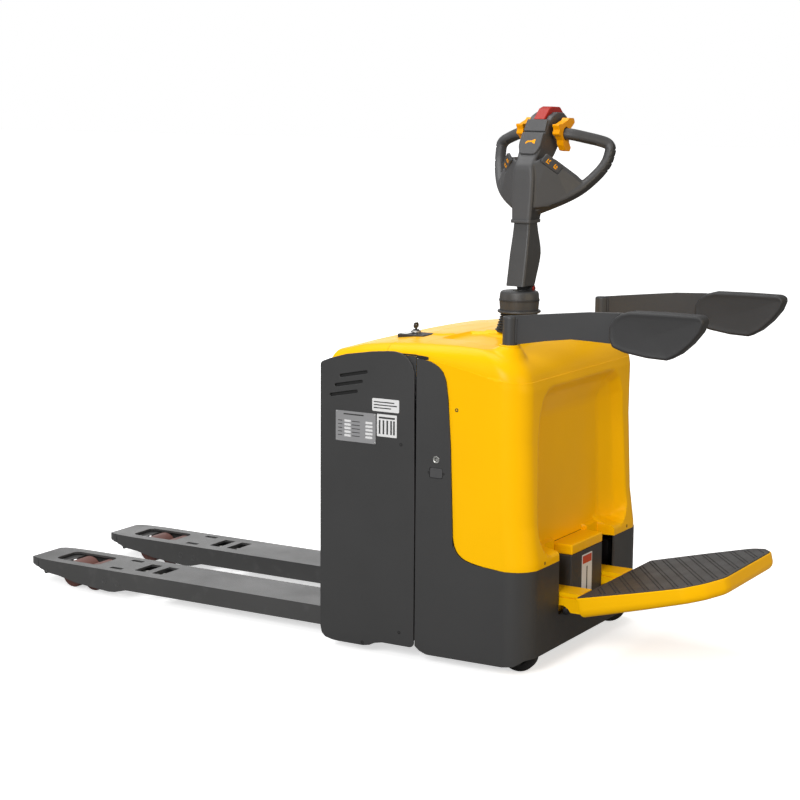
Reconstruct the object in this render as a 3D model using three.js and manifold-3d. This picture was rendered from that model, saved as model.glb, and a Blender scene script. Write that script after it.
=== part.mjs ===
// Ride-on electric pallet truck, forks lowered. Millimetres, +Z up, forks towards -X, operator at +X.
import * as THREE from "three";
import { mergeVertices } from "three/addons/utils/BufferGeometryUtils.js";
import { ConvexGeometry } from "three/addons/geometries/ConvexGeometry.js";
import Module from "manifold-3d";

const wasm = await Module();
wasm.setup();

// Driving dimensions. X is measured from the fork heel; the whole group is centred at the end.
const FORK_TOP = 85;
const FORK_MID = 192;
const FORK_HALF = 86;
const PANEL_Y = 368;
const PANEL_T = 6;
const PANEL_END = 300;
const HOOD_Y = 364;
const WALL = 5;
const CORNER = 70;
const STEER_X = 416;
const POST_X = 536;
const POST_Y = 283;
const CASTOR_X = 556;
const CASTOR_Y = 284;
const CASTOR_TRAIL = 24;
const CASTOR_TURN = { left: 8, right: 45 };
const ROLLER_R = 40;
const ROLLER_X = [-997, -915];
const BOGIE_X = -956;
const ARM_PIVOT = [-790, 46];
const ROCKER = [70, 46];
const LEVER = 22;
const ARM_SWING = (47.3 * Math.PI) / 180;
const CYLINDER = [270, 338];
const PLATE_TILT = (13.5 * Math.PI) / 180;
const PLATE_PIVOT = [733, 188];

// ---- solids -------------------------------------------------------------------------------------

// A closed geometry as a manifold solid.
function solid(geometry) {
  const flat = geometry.index ? geometry.toNonIndexed() : geometry;
  const bare = new THREE.BufferGeometry().setAttribute("position", flat.getAttribute("position"));
  const merged = mergeVertices(bare, 1e-3);
  const mesh = new wasm.Mesh({
    numProp: 3,
    vertProperties: merged.attributes.position.array,
    triVerts: new Uint32Array(merged.index.array),
  });
  return new wasm.Manifold(mesh);
}

function add(...parts) {
  return parts.reduce((a, b) => a.add(b));
}

function cut(body, ...tools) {
  return tools.reduce((a, b) => a.subtract(b), body);
}

function common(...parts) {
  return parts.reduce((a, b) => a.intersect(b));
}

function geometryOf(made) {
  const m = made.getMesh();
  const position = new THREE.BufferAttribute(new Float32Array(m.vertProperties), 3);
  const g = new THREE.BufferGeometry().setAttribute("position", position);
  g.setIndex(new THREE.BufferAttribute(new Uint32Array(m.triVerts), 1));
  const facets = g.toNonIndexed();
  facets.computeVertexNormals();
  return facets;
}

function moved(made, x, y, z) {
  return made.translate([x, y, z]);
}

function box(x0, x1, y0, y1, z0, z1) {
  const g = new THREE.BoxGeometry(x1 - x0, y1 - y0, z1 - z0);
  g.translate((x0 + x1) / 2, (y0 + y1) / 2, (z0 + z1) / 2);
  return solid(g);
}

function shapeOf(points) {
  const shape = new THREE.Shape(points.map(([a, b]) => new THREE.Vector2(a, b)));
  return shape;
}

// An outline in X and Y, extruded from z0 to z1.
function prismZ(points, z0, z1) {
  const g = new THREE.ExtrudeGeometry(shapeOf(points), { depth: z1 - z0, bevelEnabled: false });
  g.translate(0, 0, z0);
  return solid(g);
}

// An outline in X and Z, extruded from y0 to y1.
function prismY(points, y0, y1) {
  const g = new THREE.ExtrudeGeometry(shapeOf(points), { depth: y1 - y0, bevelEnabled: false });
  g.rotateX(Math.PI / 2);
  g.translate(0, y1, 0);
  return solid(g);
}

// An outline in Y and Z, extruded from x0 to x1.
function prismX(points, x0, x1) {
  const g = new THREE.ExtrudeGeometry(shapeOf(points), { depth: x1 - x0, bevelEnabled: false });
  g.rotateX(Math.PI / 2);
  g.rotateZ(Math.PI / 2);
  g.translate(x0, 0, 0);
  return solid(g);
}

// A round bar between two points.
function rod(from, to, r0, r1 = r0, sides = 18) {
  const a = new THREE.Vector3(...from);
  const b = new THREE.Vector3(...to);
  const along = b.clone().sub(a);
  const g = new THREE.CylinderGeometry(r1, r0, along.length(), sides);
  const up = new THREE.Vector3(0, 1, 0);
  g.applyQuaternion(new THREE.Quaternion().setFromUnitVectors(up, along.clone().normalize()));
  g.translate((a.x + b.x) / 2, (a.y + b.y) / 2, (a.z + b.z) / 2);
  return solid(g);
}

// A closed profile of radius and height, turned about the vertical axis at x, y.
function turned(profile, x, y, sides = 36) {
  const g = new THREE.LatheGeometry(profile.map(([r, z]) => new THREE.Vector2(r, z)), sides);
  g.rotateX(Math.PI / 2);
  g.translate(x, y, 0);
  const made = solid(g);
  return made.volume() < 0 ? solid(flipped(g)) : made;
}

function flipped(geometry) {
  const g = geometry.toNonIndexed();
  const p = g.getAttribute("position").array;
  for (let i = 0; i < p.length; i += 9) {
    for (let k = 0; k < 3; k += 1) {
      [p[i + 3 + k], p[i + 6 + k]] = [p[i + 6 + k], p[i + 3 + k]];
    }
  }
  return g;
}

// A skin over matching rings of points, closed by a flat fan at each end.
function loft(rings) {
  const n = rings[0].length;
  const faces = [];
  const put = (...corners) => corners.forEach((c) => faces.push(...c));
  for (let k = 0; k + 1 < rings.length; k += 1) {
    for (let i = 0; i < n; i += 1) {
      const j = (i + 1) % n;
      put(rings[k][i], rings[k][j], rings[k + 1][j]);
      put(rings[k][i], rings[k + 1][j], rings[k + 1][i]);
    }
  }
  const last = rings[rings.length - 1];
  for (let i = 1; i + 1 < n; i += 1) {
    put(rings[0][0], rings[0][i + 1], rings[0][i]);
    put(last[0], last[i], last[i + 1]);
  }
  const position = new THREE.Float32BufferAttribute(faces, 3);
  const g = new THREE.BufferGeometry().setAttribute("position", position);
  const made = solid(g);
  return made.volume() < 0 ? solid(flipped(g)) : made;
}

// A rounded rectangle at one height, as a ring of points.
function roundRing(x0, x1, y0, y1, r, z, steps = 4) {
  const corners = [
    [x1 - r, y1 - r, 0],
    [x0 + r, y1 - r, 90],
    [x0 + r, y0 + r, 180],
    [x1 - r, y0 + r, 270],
  ];
  return corners.flatMap(([cx, cy, start]) =>
    Array.from({ length: steps + 1 }, (_, i) => {
      const a = ((start + (90 * i) / steps) * Math.PI) / 180;
      return [cx + r * Math.cos(a), cy + r * Math.sin(a), z];
    }),
  );
}

function hull(points) {
  return solid(new ConvexGeometry(points.map((p) => new THREE.Vector3(...p))));
}

// A round-cornered bar swept along a smooth path.
function swept(points, half, tall, steps = 18) {
  const path = new THREE.CatmullRomCurve3(points.map((p) => new THREE.Vector3(...p)));
  const shape = new THREE.Shape();
  shape.absellipse(0, 0, tall, half, 0, Math.PI * 2, false, 0);
  const options = { steps, extrudePath: path, bevelEnabled: false, curveSegments: 4 };
  return solid(new THREE.ExtrudeGeometry(shape, options));
}

function mirrored(points) {
  return points.concat(points.map(([a, b]) => [-a, b]).reverse());
}

function bothSides(points) {
  return points.concat(points.map(([a, b]) => [a, -b]).reverse());
}

// ---- materials and nodes ------------------------------------------------------------------------

const group = new THREE.Group();
group.name = "electric_pallet_truck";

function paint(name, color, metalness, roughness) {
  return new THREE.MeshStandardMaterial({ name, color, metalness, roughness });
}

const MAT = {
  yellow: paint("body_yellow", 0xf2c200, 0, 0.35),
  grey: paint("frame_grey", 0x4a4a4a, 0.3, 0.5),
  fork: paint("fork_grey", 0x6a6a6a, 0.4, 0.4),
  black: paint("black_plastic", 0x2b2b2b, 0, 0.6),
  rubber: paint("rubber_black", 0x1c1c1c, 0, 0.85),
  tyre: paint("wheel_polyurethane", 0x8c5a50, 0, 0.6),
  steel: paint("bright_steel", 0xb0b0b0, 0.9, 0.3),
  iron: paint("cast_iron", 0x55524e, 0.7, 0.6),
  head: paint("head_plastic", 0x55555a, 0, 0.55),
  amber: paint("throttle_yellow", 0xf5a300, 0, 0.4),
  red: paint("switch_red", 0xa52820, 0, 0.45),
  foam: paint("pad_foam", 0x2f2f2f, 0, 0.8),
};

function node(name, made, material) {
  const mesh = new THREE.Mesh(geometryOf(made), material);
  mesh.name = name;
  group.add(mesh);
}

const SIDES = [
  ["left", -1],
  ["right", 1],
];

// A solid made for the right (+Y) side, turned over to the side wanted.
function sided(made, s) {
  return s > 0 ? made : made.mirror([0, 1, 0]);
}

// ---- forks and what lifts with them --------------------------------------------------------------

const FORK_SIDE_OUTLINE = [
  [-1150, 66],
  [-1130, 62],
  [-1097, 54],
  [-1061, 44],
  [-1022, 42],
  [-951, 28],
  [-889, 23],
  [-823, 18],
  [-800, 20],
  [-758, 31],
  [285, 31],
  [285, FORK_TOP],
  [-1132, FORK_TOP],
  [-1148, 78],
];

function forkPlan() {
  const edge = [
    [285, FORK_HALF],
    [-1040, FORK_HALF],
    [-1090, 83],
    [-1125, 76],
    [-1144, 60],
    [-1150, 40],
  ];
  return bothSides(edge);
}

function fork() {
  const outside = common(
    prismY(FORK_SIDE_OUTLINE, -FORK_HALF, FORK_HALF),
    prismZ(forkPlan(), 0, 100),
  );
  const hollow = box(-1108, 286, -80, 80, 0, FORK_TOP - 6);
  const seat = box(-1, 300, -90, 90, FORK_TOP - 0.5, 100);
  const window = prismZ(
    [
      [-1060, -40],
      [-1048, -52],
      [-905, -52],
      [-893, -40],
      [-893, 40],
      [-905, 52],
      [-1048, 52],
      [-1060, 40],
    ],
    0,
    100,
  );
  const slots = [
    [-756, -716],
    [-690, -652],
  ].map(([a, b]) => box(a, b, -44, 44, 60, 100));
  const edgeSlots = [-52, 52].map((y) => box(-840, -796, y - 11, y + 11, 60, 100));
  const pin = rod([ARM_PIVOT[0], -83, ARM_PIVOT[1]], [ARM_PIVOT[0], 83, ARM_PIVOT[1]], 8);
  const nosePin = rod([-1071, -83, 47], [-1071, 83, 47], 6);
  const shaftHole = rod([ROCKER[0], -90, ROCKER[1]], [ROCKER[0], 90, ROCKER[1]], 11.6);
  return add(cut(outside, hollow, seat, window, ...slots, ...edgeSlots, shaftHole), pin, nosePin);
}

const forkSolid = fork();
SIDES.forEach(([side, s]) => {
  node("fork_" + side, moved(forkSolid, 0, s * FORK_MID, 0), MAT.fork);
});

// Plate under the battery and upright front plate, which join the forks to the side panels.
// The plate is notched round the two lift cylinders, which it passes on the way up.
const notches = [-338, 338].map((y) => box(244, 300, y - 25, y + 25, 80, 100));
const beam = add(
  cut(box(7, 285, -361, 361, FORK_TOP + 0.1, 92), ...notches),
  box(7, 40, -105.6, 105.6, 31, FORK_TOP + 0.5),
  box(7, 60, 278.4, 361, 40, FORK_TOP + 0.5),
  box(7, 60, -361, -278.4, 40, FORK_TOP + 0.5),
  box(0.4, 7.4, -361, 361, FORK_TOP + 0.4, 745),
);
node("fork_carriage", beam, MAT.grey);

const PANEL_OUTLINE = [
  [0, 60],
  [8, 34],
  [30, 24],
  [60, 22],
  [140, 22],
  [165, 28],
  [200, 39],
  [PANEL_END, 39],
  [PANEL_END, 796],
  [290, 815],
  [281, 826],
  [257, 843],
  [214, 844],
  [162, 839],
  [81, 826],
  [30, 811],
  [0, 800],
];

const VENTS = [
  [63, 766, 151, 782],
  [47, 739, 136, 755],
  [31, 711, 120, 727],
];

function sidePanel() {
  const plate = prismY(PANEL_OUTLINE, PANEL_Y - PANEL_T, PANEL_Y);
  const slots = VENTS.map(([x0, z0, x1, z1]) =>
    prismY(
      [
        [x0, z0 - 4],
        [x1, z1 - 4],
        [x1, z1 + 4],
        [x0, z0 + 4],
      ],
      PANEL_Y - 20,
      PANEL_Y + 10,
    ),
  );
  return cut(plate, ...slots);
}

const panelSolid = sidePanel();
SIDES.forEach(([side, s]) => node("side_panel_" + side, sided(panelSolid, s), MAT.grey));

// Lift rod with the bracket that it pushes, on the inner face of each side panel.
SIDES.forEach(([side, s]) => {
  const y = CYLINDER[1];
  const made = add(
    rod([CYLINDER[0], y, 175], [CYLINDER[0], y, 562], 12),
    box(250, 290, 320, 361.6, 560, 600),
  );
  node("lift_rod_" + side, sided(made, s), MAT.steel);
});

// ---- load-wheel linkage --------------------------------------------------------------------------

// A lever standing on a shaft at x, z, leaning towards +X at rest, with a pin for the push rod.
function lever(x, z, y) {
  const a = ARM_SWING / 2;
  const tip = [x + LEVER * Math.sin(a), z + LEVER * Math.cos(a)];
  const blade = prismY(
    [
      [x - 10, z],
      [tip[0] - 7, tip[1] + 1],
      [tip[0], tip[1] + 6],
      [tip[0] + 6, tip[1] + 1],
      [x + 11, z],
    ],
    y - 6,
    y + 6,
  );
  return add(blade, rod([tip[0], y, tip[1]], [tip[0], y + 22, tip[1]], 3.5, 3.5, 16));
}

// Cross shaft under the battery, with one lever standing in each fork.
function rockerShaft() {
  const [x, z] = ROCKER;
  const levers = [-FORK_MID, FORK_MID].map((y) => lever(x, z, y));
  return add(rod([x, -262, z], [x, 262, z], 11), ...levers);
}

node("rocker_shaft", rockerShaft(), MAT.steel);

// Push rod from the cross shaft to the lever of the load arm.
function pushRod() {
  const a = ARM_SWING / 2;
  const z = ROCKER[1] + (LEVER * (1 + Math.cos(a))) / 2;
  const ends = [ARM_PIVOT[0], ROCKER[0]].map((x) => x + LEVER * Math.sin(a));
  const bar = rod([ends[0] + 6, 15, z], [ends[1] - 6, 15, z], 5.5, 5.5, 16);
  const eyes = ends.map((x) => rod([x, 9, z], [x, 21, z], 9.2, 9.2, 24));
  const holes = ends.map((x) => rod([x, 0, z], [x, 30, z], 5.4, 5.4, 20));
  return cut(add(bar, ...eyes), ...holes);
}

// Load arm: a hub on the fork's cross pin, two cheeks out to the bogie and a lever for the push rod.
function loadArm() {
  const [px, pz] = ARM_PIVOT;
  const pin = [BOGIE_X, ROLLER_R];
  const cheek = (y) =>
    prismY(
      [
        [px + 13, pz - 6],
        [px + 13, pz + 6],
        [px + 4, pz + 13],
        [px - 14, pz + 13],
        [pin[0] - 8, pin[1] + 11],
        [pin[0] - 12, pin[1]],
        [pin[0] - 8, pin[1] - 11],
        [px - 14, pz - 14],
        [px + 4, pz - 13],
      ],
      y - 4,
      y + 4,
    );
  const hub = rod([px, -62, pz], [px, 62, pz], 11.5);
  const stub = (y) => {
    const ends = [y, 0.8 * y].sort((a, b) => a - b);
    return rod([pin[0], ends[0], pin[1]], [pin[0], ends[1], pin[1]], 7);
  };
  const bore = rod([px, -90, pz], [px, 90, pz], 8.4);
  return cut(add(hub, cheek(58), cheek(-58), stub(60), stub(-60), lever(px, pz, 0)), bore);
}

// Bogie: two side plates joined by the axles of the two load rollers.
function bogie() {
  const plate = (y) =>
    box(BOGIE_X - 52, BOGIE_X + 52, y - 2.5, y + 2.5, ROLLER_R - 12, ROLLER_R + 12);
  const axles = ROLLER_X.map((x) => rod([x, -50, ROLLER_R], [x, 50, ROLLER_R], 6, 6, 20));
  const bore = rod([BOGIE_X, -60, ROLLER_R], [BOGIE_X, 60, ROLLER_R], 7.4);
  return add(cut(add(plate(49.5), plate(-49.5)), bore), ...axles);
}

function roller(x, r, half, bore, z, ends) {
  const profile = [
    [bore, -half],
    [r - ends, -half],
    [r, ends - half],
    [r, half - ends],
    [r - ends, half],
    [bore, half],
    [bore, -half],
  ];
  const g = new THREE.LatheGeometry(
    profile.map(([a, b]) => new THREE.Vector2(a, b)),
    24,
  );
  g.translate(x, 0, z);
  const made = solid(g);
  return made.volume() < 0 ? solid(flipped(g)) : made;
}

const pushSolid = pushRod();
const armSolid = loadArm();
const bogieSolid = bogie();
SIDES.forEach(([side, s]) => {
  const y = s * FORK_MID;
  node("push_rod_" + side, moved(pushSolid, 0, y, 0), MAT.steel);
  node("load_arm_" + side, moved(armSolid, 0, y, 0), MAT.iron);
  node("bogie_" + side, moved(bogieSolid, 0, y, 0), MAT.iron);
  ROLLER_X.forEach((x, i) => {
    const made = roller(x, ROLLER_R, 46, 6.4, ROLLER_R, 3);
    node("load_roller_" + side + "_" + (i + 1), moved(made, 0, y, 0), MAT.tyre);
  });
  const entry = roller(-1071, 24, 30, 6.4, 47, 4);
  node("entry_roller_" + side, moved(entry, 0, y, 0), MAT.rubber);
});

// ---- chassis -------------------------------------------------------------------------------------

// Frame plate, bulkhead, battery tray, castor boxes and the two tubes that hold the guard posts.
function baseFrame() {
  const plate = cut(
    box(296, 574, -350, 350, 250, 262),
    rod([STEER_X, 0, 240], [STEER_X, 0, 270], 76, 76, 28),
  );
  const bulkhead = cut(box(291, 299, -350, 350, 112, 780), box(280, 310, -150, 150, 100, 249));
  const tray = cut(box(8, 292, -314, 314, 214, 300), box(11, 289.5, -311, 311, 220, 310));
  const parts = [plate, bulkhead, tray];
  [-1, 1].forEach((s) => {
    const y = s * CASTOR_Y;
    parts.push(box(CASTOR_X - 48, CASTOR_X + 48, y - 48, y + 48, 119, 127));
    parts.push(box(CASTOR_X - 30, CASTOR_X + 30, y - 30, y + 30, 126, 251));
    const post = cut(
      rod([POST_X, s * POST_Y, 261], [POST_X, s * POST_Y, 842], 24),
      rod([POST_X, s * POST_Y, 700], [POST_X, s * POST_Y, 860], 20.6),
    );
    parts.push(post);
    const foot = box(248, 294, s > 0 ? 316 : -360, s > 0 ? 360 : -316, 112, 118);
    parts.push(foot);
  });
  return add(...parts);
}

node("base_frame", baseFrame(), MAT.grey);

SIDES.forEach(([side, s]) => {
  const [x, y] = CYLINDER;
  const tube = cut(
    add(rod([x, y, 118.3], [x, y, 440], 19), rod([x, y, 425], [x, y, 440], 20.5)),
    rod([x, y, 165], [x, y, 450], 12.6),
  );
  node("lift_cylinder_" + side, sided(tube, s), MAT.black);
});

const cell = cut(
  box(13, 287.5, -309, 309, 220.4, 690),
  ...[-186, -62, 62, 186].map((y) => box(0, 300, y - 2, y + 2, 676, 700)),
);
node("battery", cell, MAT.black);
const pump = add(
  rod([372, -250, 262.4], [372, -250, 420], 46),
  box(330, 414, -300, -200, 420, 470),
  rod([372, -250, 470], [372, -250, 560], 34),
);
node("pump_unit", pump, MAT.iron);

// Dark line where the skirt meets the hood, seen from the side.
const SKIRT_LINE = [
  [304, 831],
  [339, 827],
  [367, 815],
  [382, 800],
  [392, 777],
  [399, 728],
  [408, 596],
  [417, 355],
  [421, 338],
  [429, 321],
  [440, 310],
  [452, 303],
  [480, 295],
  [509, 291],
  [574, 286],
];

function skirtSide() {
  const outline = [[304, 46], [336, 27], [568, 28], [569.6, 28], [569.6, 286]].concat(
    SKIRT_LINE.slice(0, -1).reverse(),
  );
  return prismY(outline, PANEL_Y - 4, PANEL_Y);
}

const COVER = [347, 385, 516, 542];
const skirtSolid = skirtSide();
SIDES.forEach(([side, s]) => {
  let made = sided(skirtSolid, s);
  if (s < 0) {
    made = cut(made, box(COVER[0] - 1, COVER[1] + 1, -380, -350, COVER[2] - 1, COVER[3] + 1));
    made = cut(made, rod([366, -380, 565], [366, -350, 565], 7));
  }
  node("skirt_" + side, made, MAT.grey);
});
node("charge_cover", box(COVER[0], COVER[1], -367.9, -365.4, COVER[2], COVER[3]), MAT.black);

// Rear skirt: a plate that turns both corners, with a centre housing and a pocket each side of it
// for the platform brackets.
function rearSkirt() {
  const arc = (r, y, start) =>
    Array.from({ length: 7 }, (_, i) => {
      const a = ((start + 15 * i) * Math.PI) / 180;
      return [570 + r * Math.cos(a), y + r * Math.sin(a)];
    });
  const edge = PANEL_Y - CORNER;
  const outer = [...arc(CORNER, -edge, -90), ...arc(CORNER, edge, 0)];
  const inner = [...arc(CORNER - WALL, -edge, -90), ...arc(CORNER - WALL, edge, 0)].reverse();
  const wall = prismZ(outer.concat(inner), 28, 286);
  const low = prismY(
    [
      [500, 0],
      [560, 27],
      [600, 32],
      [625, 49],
      [660, 49],
      [660, 0],
    ],
    -400,
    400,
  );
  const open = cut(wall, low, box(600, 700, -175.5, 175.5, 136, 300));
  const housing = box(575, 640, -98, 98, 130, 285);
  return add(open, housing, box(590, 640, -182, 182, 130, 136), box(590, 596, -182, 182, 130, 282));
}

node("skirt_rear", rearSkirt(), MAT.grey);
node("housing_cap", box(571.5, 640, -98, 98, 285.3, 313), MAT.yellow);

// ---- hood, cover and lid -------------------------------------------------------------------------

const REAR_LINE = [
  [284, 640],
  [300, 640],
  [400, 626],
  [620, 616],
  [760, 617],
  [785, 613],
  [815, 600],
  [840, 580],
  [880, 540],
];

function bodyForm(inset) {
  const rings = REAR_LINE.map(([z, x]) =>
    roundRing(25 + inset, x - inset, -HOOD_Y + inset, HOOD_Y - inset, CORNER - inset, z, 5),
  );
  const crown = mirrored([
    [HOOD_Y - inset, 200],
    [HOOD_Y - inset, 800],
    [361 - inset, 822],
    [352 - inset, 846],
    [330, 864 - inset],
    [200, 871 - inset],
    [70, 874 - inset],
  ]);
  const side = [
    [25 + inset, 200],
    [25 + inset, 822],
    [41, 839 - inset],
    [110, 857 - inset],
    [203, 868 - inset],
    [330, 873 - inset],
    [430, 873 - inset],
    [500, 868 - inset],
    [550, 858 - inset],
    [580, 846 - inset],
    [640, 790],
    [640, 200],
  ];
  const form = loft(rings);
  return common(form, prismX(crown, 0, 700), prismY(side, -400, 400));
}

const outerForm = bodyForm(0);
const innerForm = bodyForm(WALL);
const shell = cut(outerForm, common(innerForm, box(0, 561.5, -400, 400, 0, 900)));

function slab(x0, x1, z0) {
  return box(x0, x1, -380, 380, z0, 900);
}

// The cover and lid sit inside the side panels.
const narrow = box(0, 299.5, -361.2, 361.2, 700, 900);
const panelSeat = box(144, 236, -216, -138, 855, 900);
const lid = cut(common(shell, narrow, slab(20, 204.6, 762)), panelSeat);
node("battery_lid", lid, MAT.yellow);
const strip = cut(common(shell, narrow, slab(205.4, 298.8, 781)), panelSeat);
node("top_strip", strip, MAT.yellow);

const RECESS = mirrored([
  [250, 302],
  [283, 340],
  [281, 380],
  [268, 620],
  [260, 690],
  [240, 735],
  [210, 757],
  [180, 762],
]);

function hood() {
  const keep = [[700, 286.6]].concat(
    SKIRT_LINE.map(([x, z]) => [x + 0.8, z + 0.8]).reverse(),
    [
      [299.6, 832],
      [299.6, 900],
      [700, 900],
    ],
  );
  const body = common(shell, prismY(keep, -400, 400));
  const holes = SIDES.map(([, s]) =>
    rod([POST_X, s * POST_Y, 700], [POST_X, s * POST_Y, 900], 22.5),
  );
  return cut(
    body,
    prismX(RECESS, 571, 700),
    box(571, 700, -176, 176, 270, 306),
    rod([STEER_X, 0, 700], [STEER_X, 0, 900], 40),
    ...holes,
  );
}

node("hood", hood(), MAT.yellow);
node("instrument_panel", box(148, 232, -212, -142, 856, 874), MAT.black);
const key = add(
  rod([186, -170, 874.3], [186, -170, 880], 9, 9, 20),
  box(184, 188, -181, -159, 879, 899),
);
node("key", key, MAT.steel);

// ---- steering: drive unit, column, tiller --------------------------------------------------------

const BOOT = [
  [27, 873.5],
  [63, 873.5],
  [63, 881],
  [56, 885],
  [59, 890],
  [53, 895],
  [56, 900],
  [50, 905],
  [53, 910],
  [47, 915],
  [49, 922],
  [27, 922],
  [27, 873.5],
];
node("boot", turned(BOOT, STEER_X, 0, 22), MAT.rubber);

// Turntable with a gearbox that hangs beside the wheel; the axle points along X at rest.
const gearbox = add(
  rod([STEER_X, 0, 236], [STEER_X, 0, 248], 104, 104, 32),
  loft([
    roundRing(460, 508, -48, 48, 14, 60),
    roundRing(460, 508, -56, 56, 14, 115),
    roundRing(460, 508, -56, 56, 14, 237),
  ]),
  rod([STEER_X - 30, 0, 115], [462, 0, 115], 20),
);
node("drive_unit", gearbox, MAT.iron);

function driveWheel() {
  const profile = [
    [20.6, -37],
    [96, -37],
    [108, -37],
    [115, -30],
    [115, 30],
    [108, 37],
    [96, 37],
    [90, 30],
    [40, 30],
    [34, 37],
    [20.6, 37],
    [20.6, -37],
  ];
  const g = new THREE.LatheGeometry(profile.map(([r, y]) => new THREE.Vector2(r, y)), 32);
  g.rotateZ(Math.PI / 2);
  g.translate(STEER_X, 0, 115);
  const made = solid(g);
  return made.volume() < 0 ? solid(flipped(g)) : made;
}

node("drive_wheel", driveWheel(), MAT.tyre);
const motor = add(
  rod([STEER_X, 0, 248.3], [STEER_X, 0, 258], 72, 72, 26),
  rod([STEER_X, 0, 257], [STEER_X, 0, 462], 62, 62, 26),
);
node("traction_motor", motor, MAT.black);

const HINGE = [40, 990];
const columnForm = add(
  rod([STEER_X, 0, 462.3], [STEER_X, 0, 475], 45),
  rod([STEER_X, 0, 470], [STEER_X, 0, 930], 22),
  rod([STEER_X, 0, 925], [STEER_X, 0, 933], 60, 60, 26),
  rod([STEER_X, 0, 932], [STEER_X, 0, 960], 53, 55, 26),
  rod([STEER_X, 0, 959.9], [STEER_X, 0, 985], 55, 52, 26),
  ...[-1, 1].map((s) =>
    add(
      rod([STEER_X + s * 12, HINGE[0], HINGE[1]], [STEER_X + s * 22, HINGE[0], HINGE[1]], 12),
      box(
        STEER_X + (s > 0 ? 12 : -22),
        STEER_X + (s > 0 ? 22 : -12),
        HINGE[0] - 12,
        HINGE[0] + 10,
        970,
        HINGE[1],
      ),
    ),
  ),
);
const tongueRoom = add(
  rod([STEER_X - 12, HINGE[0], HINGE[1]], [STEER_X + 12, HINGE[0], HINGE[1]], 12),
  box(STEER_X - 12, STEER_X + 12, HINGE[0] - 12, 70, 978, 1010),
);
node("steering_column", cut(columnForm, tongueRoom), MAT.black);

function tillerArm() {
  const ring = (z, y0, y1, half, r) =>
    roundRing(STEER_X - half, STEER_X + half, y0, y1, r, z, 3);
  const body = loft([
    ring(1000, -31, 40, 28, 7),
    ring(1012, -29, 46, 28, 8),
    ring(1060, -18, 70, 28, 12),
    ring(1085, -13, 77, 28, 14),
    ring(1110, -7, 76, 27, 14),
    ring(1140, 0, 63, 26, 10),
    ring(1174, 6, 55, 25, 7),
  ]);
  const relief = cut(
    rod([STEER_X - 23, HINGE[0], HINGE[1]], [STEER_X + 23, HINGE[0], HINGE[1]], 14),
    box(STEER_X - 11.6, STEER_X + 11.6, 0, 80, 950, 1030),
  );
  const tongue = add(
    rod([STEER_X - 11.5, HINGE[0], HINGE[1]], [STEER_X + 11.5, HINGE[0], HINGE[1]], 11),
    box(STEER_X - 11.5, STEER_X + 11.5, HINGE[0] - 11, HINGE[0], HINGE[1], 1006),
  );
  return add(cut(body, relief), tongue);
}

node("tiller_arm", tillerArm(), MAT.black);

// Control head: a leaning spine with a wide belly, and a closed hand loop on each side.
const HUB = [138, 1414];

function headSolid() {
  const ring = (z, y0, y1, half, r) =>
    roundRing(STEER_X - half, STEER_X + half, y0, y1, r, z, 3);
  const spine = loft([
    ring(1174.4, -4, 64, 30, 8),
    ring(1205, 0, 74, 31, 10),
    ring(1260, 3, 92, 33, 12),
    ring(1328, 8, 122, 36, 14),
    ring(1362, 34, 150, 36, 14),
    ring(1418, 74, 200, 36, 16),
    ring(1448, 90, 222, 34, 16),
    ring(1462, 108, 222, 28, 16),
  ]);
  const parts = [spine];
  [-1, 1].forEach((s) => {
    const at = (u, y, z) => [STEER_X + s * u, y, z];
    parts.push(
      swept(
        [
          at(20, 138, 1414),
          at(50, 138, 1414),
          at(80, 141, 1413),
          at(107, 160, 1406),
          at(140, 190, 1396),
          at(162, 203, 1382),
          at(171, 200, 1358),
          at(169, 190, 1332),
          at(152, 158, 1298),
          at(122, 118, 1262),
          at(84, 80, 1236),
          at(20, 40, 1204),
        ],
        14,
        16,
        15,
      ),
    );
    parts.push(
      hull([
        at(20, 6, 1205),
        at(20, 12, 1336),
        at(48, 40, 1352),
        at(120, 98, 1296),
        at(140, 126, 1268),
        at(100, 78, 1232),
        at(20, 40, 1200),
        at(20, 60, 1336),
        at(48, 88, 1350),
        at(120, 126, 1296),
        at(136, 142, 1272),
        at(96, 112, 1236),
      ]),
    );
  });
  return add(...parts);
}

// One butterfly throttle each side of the head, a ring that turns on the inner end of the bar.
function throttle(s) {
  const [hy, hz] = HUB;
  const lo = Math.min(STEER_X + s * 42, STEER_X + s * 70);
  const hi = lo + 28;
  const lobes = [75, 165, 300].map((deg) => {
    const a = (deg * Math.PI) / 180;
    const out = [Math.cos(a), Math.sin(a)];
    const across = [-out[1], out[0]];
    const at = (r, w) => [hy + out[0] * r + across[0] * w, hz + out[1] * r + across[1] * w];
    return prismX([at(10, -19), at(34, -11), at(48, -13), at(48, 13), at(34, 11), at(10, 19)], lo, hi);
  });
  const hub = rod([lo, hy, hz], [hi, hy, hz], 28);
  return cut(add(hub, ...lobes), rod([lo - 1, hy, hz], [hi + 1, hy, hz], 18.6));
}

// Points of a pressed piece, and the pocket it needs: every point grown, and moved by its travel.
function pocket(points, g, travel) {
  const signs = [-g, g];
  const grown = (p) =>
    signs.flatMap((a) => signs.flatMap((b) => signs.map((c) => [p[0] + a, p[1] + b, p[2] + c])));
  const all = points.concat(points.map((p) => p.map((v, k) => v + travel[k])));
  return hull(all.flatMap(grown));
}

function acrossX(profile) {
  return profile.flatMap(([half, y, z]) => [
    [STEER_X - half, y, z],
    [STEER_X + half, y, z],
  ]);
}

const SWITCH = acrossX([
  [17, 97, 1452],
  [17, 128, 1480],
  [15, 150, 1488],
  [15, 200, 1486],
  [17, 234, 1456],
  [17, 234, 1432],
  [17, 190, 1436],
  [17, 130, 1450],
]);

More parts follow.
